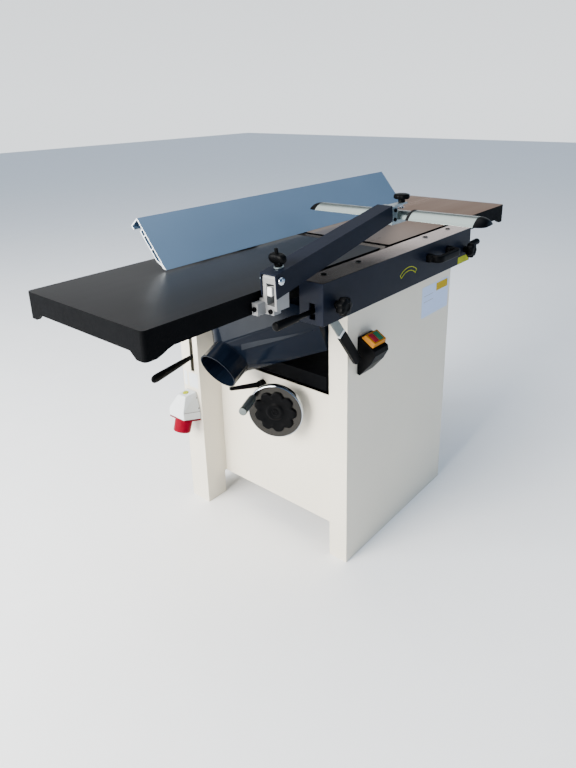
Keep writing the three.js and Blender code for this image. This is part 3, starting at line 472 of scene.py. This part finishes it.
def round_corners(bm):
    """Rounds the long upright edges at a table's outer corners."""
    longer, slant = 40 * MM, 1.5 * MM
    upright = [e for e in bm.edges if e.calc_length() > longer
               and abs(e.verts[0].co.x - e.verts[1].co.x) + abs(e.verts[0].co.y - e.verts[1].co.y) < slant
               and e.is_convex]
    bmesh.ops.bevel(bm, geom=upright, offset=TABLE_CORNER * MM, segments=5, profile=0.5, affect="EDGES")


def build_tables():
    refine("outfeed_table", 1.3, [CAST, GROUND], ground_top, shape=round_corners)
    refine("infeed_table", 1.3, [CAST, INFEED_TOP_PAINTED_REFLECTION], ground_top, shape=round_corners)


# ------------------------------------------------------------------ front bar
bar_lo, bar_hi = lo_hi("front_bar")
BAR_SCREW_X, BAR_SCREW_Y = (-317, -178, 157, 293), 18
SCREW_SEAT = [(8.0, 0.05), (7.6, 0.4), (5.6, 0.3)]
SCREW_CROWN = [(7.4, 0.2), (7.2, 1.6), (5.6, 2.3), (2.4, 2.3)]
SLOT_Y, SLOT_WIDE, SLOT_INSET, SLOT_THICK = 3, 19, 8.5, 0.8
SLOT_SPANS = ((768, 780.5), (799.5, 812))


def build_bar():
    refine("front_bar", 1.2, [NAVY, BAR_TOP_PAINTED_REFLECTION], ground_top)
    for i, x in enumerate(BAR_SCREW_X):
        centre = at(x, BAR_SCREW_Y, TOP)
        fit(turned(SCREW_SEAT, centre, UP, 32), f"bar_screw_seat_{i + 1}", STRAP, "tables")
        fit(turned(SCREW_CROWN, centre, UP, 24), f"bar_screw_{i + 1}", CAST, "tables")


def build_slot_shade_sheets():
    """Dark sheets a little inside the bar's ends, in the lever slots below and above each lever: painted
    shade in the slots.
    """
    for tag, x, thick in (("left", bar_lo.x + SLOT_INSET, SLOT_THICK),
                          ("right", bar_hi.x - SLOT_INSET, -SLOT_THICK)):
        for i, (z0, z1) in enumerate(SLOT_SPANS):
            outline = rounded_rect(SLOT_WIDE, z1 - z0, 3)
            insert = plate(at(x, SLOT_Y, (z0 + z1) / 2), REAR, UP, outline, thick)
            fit(insert, f"slot_shade_sheet_{tag}_{i + 1}", SLOT_PAINTED_SHADE, "tables")


# ------------------------------------------------------------------ printed scale and blank labels
PRINT_GAP, SECOND_LAYER = 0.05, 0.4
ARC_CENTRE = at(-12, bar_lo.y - PRINT_GAP, 750)
ARC_STEPS = 28
# name, inner radius, width, first angle and last angle in degrees
SCALE_ARCS = (("scale_arc_outer", 66, 2.0, 52, 128), ("scale_arc_inner", 56, 2.0, 52, 128),
              ("scale_arc_end_a", 56, 12, 50.2, 52), ("scale_arc_end_b", 56, 12, 128, 129.8))


def arc(radius, start, end):
    turns = [math.radians(start + (end - start) * i / ARC_STEPS) for i in range(ARC_STEPS + 1)]
    return [(radius * math.sin(a), radius * math.cos(a)) for a in turns]


def build_scale():
    """The curved scale on the bar's face: two long arcs closed by two short ones."""
    for name, radius, width, start, end in SCALE_ARCS:
        outline = arc(radius, start, end) + arc(radius + width, end, start)
        fit(plate(ARC_CENTRE, UP, ALONG_X, outline, -0.35), name, LIME, "tables")


def build_labels():
    """The white plate has a yellow block and two ruled lines, and no text."""
    sticker("bar_label", at(314, bar_lo.y - PRINT_GAP, 770.5), ALONG_X, 72, 21, LIME, "tables")
    sticker("front_label", at(202, -PRINT_GAP, 672), ALONG_X, 160, 94, WHITE, corner=3)
    sticker("front_label_block", at(241, -SECOND_LAYER, 703), ALONG_X, 70, 24, YELLOW, thick=0.2)
    for i, z in enumerate((690, 672)):
        sticker(f"front_label_rule_{i + 1}", at(160, -SECOND_LAYER, z), ALONG_X, 56, 1.2, GREY_LINE,
                corner=0.4, thick=0.15)
    leg_lo, _ = lo_hi("rear_side_box")
    for i, (y, wide) in enumerate(((576, 14), (541, 40))):
        sticker(f"leg_label_{i + 1}", at(leg_lo.x - PRINT_GAP, y, 430), FRONT, wide, 48, PLATE)


# ------------------------------------------------------------------ knobs, levers and pull handle
BAR_GAP = 0.3
STAR = [(9, 0), (10, 2), (9.5, 7), (12, 10.5), (19, 11.5), (22, 14), (23, 18), (23, 25), (21.5, 29.5),
        (17, 32), (9, 32.6), (8, 31.2), (7, 31.0), (1, 31.0)]
LEVER_HUB = [(12.5, -8), (14, -6.5), (14, 6.5), (12.5, 8)]
LEVER_ROOT, LEVER_GRIP = 14, 70


def build_star_knobs():
    for node in ("star_knob_left", "star_knob_right"):
        lo, hi = lo_hi(node)
        origin = at((lo.x + hi.x) / 2, bar_lo.y - BAR_GAP, (lo.z + hi.z) / 2)
        body = turned(STAR, origin, FRONT, 96, lobes(7, 0.16, 1.4), 13)
        fit(body, node + "_body", BLACK, BODY_OF[node], (node,))


def build_end_lever(node, side, rod_mat):
    """A rod out of the bar's end with a swelling grip; side is -1 for outfeed and 1 for infeed."""
    lo, hi = lo_hi(node)
    start_x = hi.x - LEVER_ROOT if side < 0 else lo.x + LEVER_ROOT
    reach = abs((lo.x if side < 0 else hi.x) - start_x)
    start = at(start_x, (lo.y + hi.y) / 2, (lo.z + hi.z) / 2)
    out = (side, 0, 0)
    grip = [(6.5, reach - 72), (8.4, reach - 71), (8.8, reach - 60), (9.2, reach - 40), (10.2, reach - 14),
            (10.4, reach - 6), (9.4, reach - 2), (6.5, reach - 0.4), (1, reach)]
    body = BODY_OF[node]
    rod = turned([(6, 0), (6, reach - LEVER_GRIP)], start, out, 32)
    fit(rod, node + "_rod", rod_mat, body, (node,))
    fit(turned(grip, start, out, 40), node + "_grip", BLACK, body, (node,))
    fit(turned(LEVER_HUB, start, REAR, 40), node + "_hub", STEEL, body, (node,))


LOCK_PIVOT = Vector((-350, -16, 786))
LOCK_END = Vector((-228, -17, 621))
lock_down = (LOCK_END - LOCK_PIVOT).normalized()
lock_across = Vector((lock_down.z, 0, -lock_down.x))
LOCK_HUB = [(13, 0), (15, 1.5), (15, 13), (13, 14.5)]


def lock_plate(name, start, stop, half, y0, y1, mat, corner, bevel):
    """A stretch of the flat lever, from start to stop below its pivot and from y0 to y1 in thickness."""
    length = stop - start
    outline = [(a + start + length / 2, b) for a, b in rounded_rect(length, 2 * half, corner)]
    points = [LOCK_PIVOT + lock_down * a + lock_across * b for a, b in outline]
    piece = finish_mesh(loft([[at(p.x, y, p.z) for p in points] for y in (y0, y1)]), name, [mat])
    add_bevel(piece, bevel)
    place(piece, "table_lock", ("table_lock_lever",))


def build_table_lock():
    """A flat plated strip, a pale collar and a moulded grip."""
    lock_plate("lock_lever_strip", 2, 120, 12, -21.5, -16, STRAP, 3, 0.6)
    lock_plate("lock_lever_collar", 83, 90, 12.8, -22.5, -15, NYLON, 1.5, 0.6)
    lock_plate("lock_lever_grip", 90, 205, 13, -24, -11, BLACK, 5, 3.0)
    hub = turned(LOCK_HUB, at(LOCK_PIVOT.x, -23.5, LOCK_PIVOT.z), REAR, 40)
    fit(hub, "lock_lever_hub", ZINC, "table_lock", ("table_lock_lever",))


BOW_X, BOW_Z = 150, 820
HALF_BOW = ((58, -31), (58, -46), (56, -58), (47, -63.5), (28, -64))
FOOT_X = 57
FOOT_STEPS = ((0, 1.0), (8, 1.0), (13, 0.9), (17, 0.72))


def build_pull_handle():
    """A bow handle with a tapering foot under each end."""
    near = [at(BOW_X - dx, y, BOW_Z) for dx, y in HALF_BOW]
    far = [at(BOW_X + dx, y, BOW_Z) for dx, y in reversed(HALF_BOW)]
    path = smooth_path([*near, at(BOW_X, -64, BOW_Z), *far], 6)
    node = ("pull_handle",)
    fit(sweep(path, rounded_rect(15.5, 20, 3.5)), "pull_handle_bow", BLACK, "tables", node)
    outline = rounded_rect(25, 21.5, 4)
    for i, x in enumerate((BOW_X - FOOT_X, BOW_X + FOOT_X)):
        seat = at(x, bar_lo.y - BAR_GAP, BOW_Z)
        rings = [[seat + Vector((a * k, -d, b * k)) * MM for a, b in outline] for d, k in FOOT_STEPS]
        fit(loft(rings), f"pull_handle_foot_{i + 1}", BLACK, "tables", node)


# ------------------------------------------------------------------ guard arm and bracket
ARM_PIN = Vector((-485, 22, 887))
ARM_PITCH = math.radians(10.1)
arm_x = Vector((math.cos(ARM_PITCH), 0, math.sin(ARM_PITCH)))
arm_z = Vector((-math.sin(ARM_PITCH), 0, math.cos(ARM_PITCH)))
PIN_HEAD = [(9.5, 0), (9.5, 1.5), (8.5, 4), (6, 6), (2.5, 7), (0.5, 7.2)]
PIN_NUT = [(9.0, 0), (9.6, 0.8), (9.6, 6), (8.6, 7)]
KNOB_ALONG, KNOB_ABOVE = 23, 18.6
WASHER = [(10, 0), (11, 0.6), (11, 2.2), (10, 2.8), (6, 2.8)]
KNOB_NECK = [(8, 3), (9, 4), (9, 10)]
KNOB_STUD = [(4, 31), (4, 42), (3, 43.2)]
WINGS = [(14, 9.8), (19, 12), (22, 16), (23, 21), (22, 26), (18, 30), (12, 32)]


def build_arm():
    """The bracket and arm with the pivot pin's head and nut, the pale block and the bracket's screws."""
    refine("guard_bracket", 2.0)
    refine("guard_arm", 1.6)
    head = turned(PIN_HEAD, at(ARM_PIN.x, -0.6, ARM_PIN.z), FRONT, 40)
    fit(head, "arm_pin_head", CHROME, "tables")
    nut = turned(PIN_NUT, at(ARM_PIN.x, 44.8, ARM_PIN.z), REAR, 24, lobes(6, 0.1))
    fit(nut, "arm_pin_nut", ZINC, "tables")
    block = plate(at(-496, 24, 862), REAR, UP, rounded_rect(13, 20, 2), 12)
    block = finish_mesh(block, "bracket_block", [NYLON])
    add_bevel(block, 1.2)
    place(block, "tables")
    for i, (x, y, z) in enumerate(((-497.3, 20, 819), (-521.3, 44, 826))):
        screw_head(f"bracket_screw_{i + 1}", at(x, y, z), (-1, 0, 0), 5.5, 4, "tables", BLACK)


def two_wings(a):
    return 0.42 + 0.58 * (0.5 + 0.5 * math.cos(2 * a)) ** 1.6


def build_arm_knob():
    """A wing knob on a washer, square to the arm's top."""
    seat = at(*(ARM_PIN + arm_x * KNOB_ALONG + arm_z * KNOB_ABOVE))
    node = ("arm_knob",)
    fit(turned(WASHER, seat, arm_z, 40), "arm_knob_washer", ZINC, "arm_lock", node)
    fit(turned(KNOB_NECK, seat, arm_z, 64), "arm_knob_neck", BLACK, "arm_lock", node)
    wings = turned(WINGS, seat, arm_z, 96, two_wings)
    fit(wings, "arm_knob_wings", BLACK, "arm_lock", node, sharp=50)
    fit(turned(KNOB_STUD, seat, arm_z, 24), "arm_knob_stud", BLACK, "arm_lock", node)


MUSHROOM = [(8.5, 978.4), (9.3, 979.2), (9.3, 986), (12, 986.8), (18, 987.2), (21.2, 989.5), (21.9, 993),
            (21.4, 997), (19.5, 999.6), (14, 1000.7), (7, 1001), (1, 1001)]
CLAMP_STUD = [(4.4, 966.5), (4.4, 978.6)]
CLAMP_PAD = [(6.4, 962.6), (7, 963.2), (7, 965.6), (5.6, 966.6)]


def build_clamp():
    """The clamp and its knob; the knob's profiles give heights above the floor."""
    refine("clamp_bracket", 1.2)
    lo, hi = lo_hi("clamp_knob")
    centre = at((lo.x + hi.x) / 2, (lo.y + hi.y) / 2, 0)
    node = ("clamp_knob",)
    knob = turned(MUSHROOM, centre, UP, 96, lobes(8, 0.06), 17)
    fit(knob, "clamp_knob_body", BLACK, "clamp_lock", node)
    fit(turned(CLAMP_STUD, centre, UP, 32), "clamp_knob_stud", CHROME, "clamp_lock", node)
    fit(turned(CLAMP_PAD, centre, UP, 40), "clamp_knob_pad", CHROME, "clamp_lock", node)
    for i, z in enumerate((968, 944)):
        screw_head(f"clamp_screw_{i + 1}", at(-38, 2, z), FRONT, 5, 3.5, "guard_carrier", BLACK)


# ------------------------------------------------------------------ guard profiles
GUARD_YAW = math.radians(3.05)
GUARD_AT = Vector((20, 22, 0))
GUARD_BASE, CROWN_CENTRE = 941.0, 906.9
INNER_CROWN, OUTER_CROWN, OUTER_LINING = 50.6, 54.1, 50.9
CROWN_STEPS, CAP_STEPS, CAP_LENGTH = 24, 8, 27.5
TRIM_AT = -39
guard_along = Vector((-math.sin(GUARD_YAW), math.cos(GUARD_YAW), 0))
guard_side = Vector((math.cos(GUARD_YAW), math.sin(GUARD_YAW), 0))


def crown(radius, length_at, scale=1.0, lift=1.0):
    """Arc of the guard's crown at a distance along it, closed along its chord."""
    half = math.acos((GUARD_BASE - CROWN_CENTRE) / radius)
    points = []
    for i in range(CROWN_STEPS + 1):
        a = -half + 2 * half * i / CROWN_STEPS
        x, z = radius * math.sin(a), CROWN_CENTRE + radius * math.cos(a)
        p = GUARD_AT + guard_along * length_at + guard_side * (x * scale)
        points.append(at(p.x, p.y, GUARD_BASE + (z - GUARD_BASE) * lift))
    return points


def build_guard():
    """Both profiles, their rounded end caps and the trim on the outer one's edge."""
    refine("guard_inner_profile", 0.5, sharp=40)
    refine("guard_outer_profile", 0.5, sharp=40)
    for node, radius, start, sign in (("guard_cap_left", INNER_CROWN, 251.3, 1),
                                      ("guard_cap_right", OUTER_CROWN, -217.3, -1)):
        rings = []
        for k in range(CAP_STEPS + 1):
            t = k / CAP_STEPS
            round_off = math.sqrt(max(0.0, 1 - t * t))
            rings.append(crown(radius, start + sign * CAP_LENGTH * t, 0.45 + 0.55 * round_off,
                               0.12 + 0.88 * round_off))
        fit(loft(rings), node + "_body", BLACK, "guard", (node,), sharp=50)
    tops = [crown(OUTER_CROWN + r, TRIM_AT + a) for r, a in ((0.2, -6), (0.9, -5), (0.9, 1.5), (0.2, 2.2))]
    lows = [crown(OUTER_LINING, TRIM_AT + a) for a in (-6, -5, 1.5, 2.2)]
    trim = loft([top + list(reversed(low)) for top, low in zip(tops, lows)])
    fit(trim, "guard_edge_trim", RUBBER, "guard")


# ------------------------------------------------------------------ fence
def sawn_end(f):
    """Picks the second material for the profile's cut ends."""
    return int(abs(f.normal.x) > NEARLY_ALONG)


def build_fence():
    refine("fence", 0.5, [ANODISED, SAWN_ALU], sawn_end, segments=2)
    refine("fence_head", 1.5)
    refine("fence_tilt_bracket", 1.0)
    refine("fence_saddle", 2.0)
    refine("fence_slide_lock", 1.5)
    refine("fence_tilt_lock", 1.5)


# ------------------------------------------------------------------ dust hood
STRAP_X, STRAP_THICK = -287, 1.5
STRAP_OUTLINE = ((455, 622), (443, 622), (400, 583), (412, 583))
FOLD_UP = Vector((0.297, 0.367, 0.885))
# x, y, z and width of the fold at four places down its length
FOLD_STATIONS = ((-321.5, 299, 618, 17), (-309, 232, 643, 13), (-295.3, 162, 668, 9), (-280.5, 84, 697, 3))
DUCT_SLOPE = math.radians(27)
duct_axis = Vector((math.cos(DUCT_SLOPE), 0, math.sin(DUCT_SLOPE)))
DUCT_MOUTH = at(-356, 362, 532)


def build_hood():
    refine("dust_hood", 2.2, [HOOD], sharp=12)
    outline = [at(STRAP_X, y, z) for y, z in STRAP_OUTLINE]
    strap = loft([outline, [p - Vector((STRAP_THICK, 0, 0)) * MM for p in outline]])
    fit(strap, "hood_strap", ZINC, "cabinet")


def build_hood_fold():
    """The folded edge that runs down to the duct, narrowing on the way and tilted to catch the light."""
    rings = []
    for x, y, z, wide in FOLD_STATIONS:
        top_edge = Vector((x, y, z))
        low_edge = top_edge - FOLD_UP * wide
        inside = top_edge + Vector((9, 0, -wide))
        rings.append([at(*p) for p in (top_edge, low_edge, low_edge + Vector((6, 0, 0)), inside)])
    fit(loft(rings), "hood_fold", HOOD, "cabinet", sharp=20)


def build_duct():
    """The rolled rim at the duct's mouth and the weld bead further up."""
    rim = torus(DUCT_MOUTH + duct_axis * (1.2 * MM), duct_axis, 59.3, round_section(1.6, 16), 72)
    fit(rim, "duct_rolled_rim", HOOD, "cabinet")
    bead = torus(DUCT_MOUTH + duct_axis * (57 * MM), duct_axis, 60.2, round_section(1.5, 10), 72)
    fit(bead, "duct_weld_bead", HOOD, "cabinet")


# ------------------------------------------------------------------ handwheel
WHEEL_TURN = math.radians(25)
WHEEL_AT = at(-287, 214.7, 424.9)
wheel_out = Vector((-math.cos(WHEEL_TURN), -math.sin(WHEEL_TURN), 0))
wheel_side = Vector((math.sin(WHEEL_TURN), -math.cos(WHEEL_TURN), 0))
RIM_RADIUS, FACE_RADIUS = 73, 64
RIM = [(6.6, -2.2), (5, -0.7), (2, 0), (-2, -0.4), (-5, -2), (-7, -4), (-7, -17.6), (2, -18), (5, -17),
       (6.9, -14.5), (7, -12), (7, -4)]
FACE = [(12.6, 0.1), (9, -0.1), (-9, -1.4), (-20, -2.2), (-20, -8), (12.6, -3)]
WEB = [(11, -36), (20, -36), (24, -33), (24, -18), (40, -15.5), (62, -15), (66, -14), (66, -10), (11, -10)]
INSERT = [(58, -8), (61.4, -3), (61.6, 0.5), (60.2, 2.6), (57, 3.8), (50, 3.2), (40, 1.6), (28, 0.6),
          (25, 1.4), (22.5, 3.2), (20, 3.8), (16, 3.4), (14, 2.4), (10.5, 2.2)]
BOLT = [(9.6, -2), (9.6, 2.4), (8.8, 3.2), (5, 3.2), (4.6, 0.6)]
CRANK_ANGLE = math.radians(145)
CRANK_GRIP = [(5.6, 0.5), (6, 1.5), (6, 8), (8, 9.5), (10.4, 12), (11.2, 20), (11.4, 50), (11.4, 84)]
CRANK_CAP = [(11.2, 84), (11.5, 84.6), (11.5, 90.5), (10.6, 92.4), (8.6, 93), (1, 93)]


def build_handwheel():
    """Chrome rim with a face of chrome darkened as a painted dark reflection, the web behind them, and a
    lobed insert held by one bolt.
    """
    node = ("handwheel",)
    rim = torus(WHEEL_AT, wheel_out, RIM_RADIUS, RIM, 120)
    fit(rim, "handwheel_rim", CHROME, "lift_wheel", node, sharp=50)
    face = torus(WHEEL_AT, wheel_out, FACE_RADIUS, FACE, 120)
    fit(face, "handwheel_face", FACE_CHROME_PAINTED_DARK, "lift_wheel", node, sharp=60)
    fit(turned(WEB, WHEEL_AT, wheel_out, 96), "handwheel_web", CHROME, "lift_wheel", node)
    insert = turned(INSERT, WHEEL_AT, wheel_out, 144, lobes(9, 0.15, 2.4), 44)
    fit(insert, "handwheel_insert_body", BLACK, "lift_wheel", ("handwheel_insert",), sharp=40)
    fit(turned(BOLT, WHEEL_AT, wheel_out, 32), "handwheel_bolt", BLACK, "lift_wheel")


def build_crank():
    across, above = RIM_RADIUS * math.cos(CRANK_ANGLE), RIM_RADIUS * math.sin(CRANK_ANGLE)
    foot = WHEEL_AT + wheel_side * (across * MM) + Vector((0, 0, above * MM))
    node = ("crank_handle",)
    fit(turned(CRANK_GRIP, foot, wheel_out, 48), "crank_grip", DARK_CHROME, "crank", node)
    fit(turned(CRANK_CAP, foot, wheel_out, 48), "crank_cap", STRAP, "crank", node)


# ------------------------------------------------------------------ levers on the outfeed side
FEED_PIVOT, FEED_TIP = Vector((-245, 541, 516)), Vector((-450, 541, 486))
FEED_HUB = [(13, -10), (15, -8), (15, 10), (13, 12)]
PADDLE_STEPS = 32


def build_bed_lock():
    refine("bed_lock_lever", 2.0)


def build_feed_lever():
    """A flattened paddle grip, as (distance, half height, half width) stations, on a round hub."""
    length = (FEED_TIP - FEED_PIVOT).length
    out = (FEED_TIP - FEED_PIVOT).normalized()
    above = out.cross(Vector(REAR))
    stations = [(0, 5, 5), (54, 5, 5), (62, 7.5, 5.5), (80, 9, 6), (130, 11.2, 7), (length - 26, 13.2, 8),
                (length - 14, 13.3, 8), (length - 6, 11, 7), (length - 2, 7, 4.6), (length, 2, 1.4)]
    turns = [2 * math.pi * k / PADDLE_STEPS for k in range(PADDLE_STEPS)]
    rings = []
    for a, tall, wide in stations:
        middle = at(*(FEED_PIVOT + out * a))
        rings.append([middle + (above * (tall * math.cos(t)) + Vector((0, wide * math.sin(t), 0))) * MM
                      for t in turns])
    node = ("feed_lever",)
    fit(loft(rings), "feed_lever_grip", BLACK, "feed_switch", node)
    fit(turned(FEED_HUB, at(*FEED_PIVOT), REAR, 40), "feed_lever_hub", STEEL, "feed_switch", node)


# ------------------------------------------------------------------ power inlet
inlet_lo, inlet_hi = lo_hi("inlet_housing")
RISE = 22.0
INLET_PINS = 5
inlet_across = Vector((inlet_hi.x - inlet_lo.x, 0, -RISE)).normalized()
socket_out = Vector((inlet_across.z, 0, -inlet_across.x))
inlet_mid = Vector(((inlet_lo.x + inlet_hi.x) / 2, (inlet_lo.y + inlet_hi.y) / 2, inlet_lo.z + RISE / 2))
inlet_width = (inlet_hi.x - inlet_lo.x) / inlet_across.x
BARREL_FROM_EDGE = 29
BARREL = [(29.6, 0.4), (29.6, 3), (27, 5), (26.6, 24), (26.6, 41.5), (25.6, 44.6), (24.4, 45), (23.8, 43.6),
          (23.8, 10), (1, 10)]
SEAM = ((-364, 349), (-364, 351), (-300, 332), (-300, 330))


def barrel_key(a):
    """A narrow ridge along one side of the barrel."""
    return 1.04 if abs(a % (2 * math.pi) - math.pi) < 0.14 else 1.0


def build_inlet():
    """The housing with its seam line, the gasket under its slanting mouth, and the barrel with its pins."""
    refine("inlet_housing", 3.0, segments=4)
    outline = [at(x, inlet_lo.y - 0.2, z) for x, z in SEAM]
    seam = loft([outline, [p + Vector((0, 1.2, 0)) * MM for p in outline]])
    fit(seam, "inlet_seam", CAST_GREY, "cabinet")
    outline = rounded_rect(inlet_hi.y - inlet_lo.y + 3, inlet_width - 1, 5)
    gasket = plate(at(*(inlet_mid + socket_out * 0.2)), REAR, inlet_across, outline, 3.4)
    fit(gasket, "inlet_gasket", RED, "cabinet")
    foot = Vector((inlet_lo.x + BARREL_FROM_EDGE, inlet_mid.y,
                   inlet_lo.z + RISE * (inlet_width - BARREL_FROM_EDGE) / inlet_width))
    barrel = turned(BARREL, at(*foot), socket_out, 96, barrel_key, 26)
    fit(barrel, "inlet_barrel_body", RED, "cabinet", ("inlet_barrel",), sharp=40)
    for i in range(INLET_PINS):
        a = math.radians(20 + 360 / INLET_PINS * i)
        seat = foot + inlet_across * (14 * math.cos(a)) + Vector((0, 14 * math.sin(a), 0))
        pin = turned([(2.6, 10), (2.6, 36), (1.6, 38)], at(*seat), socket_out, 16)
        fit(pin, f"inlet_pin_{i + 1}", STEEL, "cabinet")


def build_inlet_fittings():
    for i, (y, z) in enumerate(((520.2, 343), (527.4, 376))):
        centre = at(-303, y, z)
        screw_head(f"inlet_screw_{i + 1}", centre, (0, -1, 0.2), 2.2, 1.0, "cabinet", BLACK)
    seat = at(-322, inlet_mid.y + 2, inlet_hi.z - 1.4)
    cap = turned([(9, -3), (9, 0.6), (7.5, 2), (2, 2.2)], seat, (-0.07, 0, 1), 32)
    fit(cap, "inlet_top_cap", LIME, "cabinet")


# ------------------------------------------------------------------ switch
def build_switch():
    refine("switch_bracket", 1.2)
    refine("switch_housing", 1.6)
    refine("start_button", 1.2)
    refine("stop_button", 1.2, [RED_BUTTON])
    screw_head("switch_screw", at(-195, -44, 641), (0, -0.6, -0.2), 4, 2, "cabinet", ZINC)


# ------------------------------------------------------------------ floor, light and camera
FLOOR_SIZE = 30
SKY_STRENGTH = 2.2
SKY_LEVELS = ((0.15, 0.72), (0.22, 0.14), (0.60, 0.16), (0.85, 0.80))
AZIMUTH, ELEVATION, ROLL = math.radians(-49.71), math.radians(19.24), math.radians(1.22)
CAMERA_AT = at(-1400.67, -822.52, 1252.18)
SENSOR, LENS = 36, 28.95421875
SHIFT_X, SHIFT_Y = -0.013763021, -0.096197917


def lay_floor():
    bpy.ops.mesh.primitive_plane_add(size=FLOOR_SIZE, location=(0, 0, 0))
    floor = bpy.context.object
    floor.name = "floor"
    paint = surface("pale_floor", (0.94, 0.94, 0.94), 0.8, vary=0.01, bump=0.0, rough_vary=0.02)
    floor.data.materials.append(paint)


def area_light(name, location, target, size, energy, colour):
    data = bpy.data.lights.new(name, "AREA")
    data.shape = "RECTANGLE"
    data.size, data.size_y = size
    data.energy = energy
    data.color = colour
    lamp = bpy.data.objects.new(name, data)
    lamp.location = location
    lamp.rotation_mode = "QUATERNION"
    lamp.rotation_quaternion = (Vector(target) - Vector(location)).to_track_quat("-Z", "Y")
    bpy.context.scene.collection.objects.link(lamp)


def hang_lights():
    area_light("key", (-4.2, 0.6, 2.2), (0, 0, 0.5), (2.6, 2.6), 640, (1.0, 0.97, 0.91))
    area_light("front_fill", (1.4, -3.8, 2.0), (0, 0, 0.5), (2.6, 2.0), 20, (0.80, 0.90, 1.0))
    area_light("window", (-3.4, 2.5, 1.8), (-0.3, 0, 0.65), (1.3, 1.3), 110, (0.93, 0.97, 1.0))
    area_light("overhead", (0.3, 0.6, 3.4), (0, 0, 0.8), (3.2, 2.6), 60, (1.0, 0.98, 0.95))


def paint_studio():
    """Soft glow at the horizon and overhead, darker walls between them and a cooler one in front."""
    world = bpy.data.worlds.new("studio")
    bpy.context.scene.world = world
    world.use_nodes = True
    new, link = world.node_tree.nodes.new, world.node_tree.links.new
    backdrop = world.node_tree.nodes["Background"]
    heading = new("ShaderNodeSeparateXYZ")
    link(new("ShaderNodeTexCoord").outputs["Generated"], heading.inputs["Vector"])

    glow = new("ShaderNodeValToRGB")
    link(heading.outputs["Z"], glow.inputs["Fac"])
    for stop, level in SKY_LEVELS:
        glow.color_ramp.elements.new(stop).color = (level * 0.92, level * 0.965, level, 1)
    glow.color_ramp.elements[0].color = (0.74, 0.775, 0.80, 1)
    glow.color_ramp.elements[-1].color = (0.94, 0.97, 1.0, 1)

    wall = new("ShaderNodeValToRGB")
    link(heading.outputs["Y"], wall.inputs["Fac"])
    wall.color_ramp.elements[0].color = (0.29, 0.42, 0.60, 1)
    wall.color_ramp.elements[1].position = 0.30
    wall.color_ramp.elements[1].color = (1, 1, 1, 1)

    mood = new("ShaderNodeMix")
    mood.data_type = "RGBA"
    mood.blend_type = "MULTIPLY"
    mood.inputs["Factor"].default_value = 1.0
    link(glow.outputs["Color"], mood.inputs["A"])
    link(wall.outputs["Color"], mood.inputs["B"])
    link(mood.outputs["Result"], backdrop.inputs["Color"])
    backdrop.inputs["Strength"].default_value = SKY_STRENGTH


def aim_camera():
    back = Vector((math.sin(AZIMUTH) * math.cos(ELEVATION), -math.cos(AZIMUTH) * math.cos(ELEVATION),
                   math.sin(ELEVATION)))
    level_right = (-back).cross(Vector(UP)).normalized()
    level_down = (-back).cross(level_right)
    right = level_right * math.cos(ROLL) + level_down * math.sin(ROLL)
    down = level_down * math.cos(ROLL) - level_right * math.sin(ROLL)
    data = bpy.data.cameras.new("camera")
    data.sensor_width = SENSOR
    data.lens = LENS
    data.shift_x, data.shift_y = SHIFT_X, SHIFT_Y
    camera = bpy.data.objects.new("camera", data)
    camera.matrix_world = Matrix.Translation(CAMERA_AT) @ Matrix(
        [(right.x, -down.x, back.x), (right.y, -down.y, back.y), (right.z, -down.z, back.z)]).to_4x4()
    bpy.context.scene.collection.objects.link(camera)
    bpy.context.scene.camera = camera


# ------------------------------------------------------------------ assembly
build_cabinet()
build_inner_works()
build_cover_screws()
build_tables()
build_bar()
build_slot_shade_sheets()
build_scale()
build_labels()
build_star_knobs()
build_end_lever("outfeed_lever", -1, BLACK)
build_end_lever("infeed_lever", 1, STEEL)
build_table_lock()
build_pull_handle()
build_arm()
build_arm_knob()
build_clamp()
build_guard()
build_fence()
build_hood()
build_hood_fold()
build_duct()
build_handwheel()
build_crank()
build_bed_lock()
build_feed_lever()
build_inlet()
build_inlet_fittings()
build_switch()
lay_floor()
hang_lights()
paint_studio()
aim_camera()
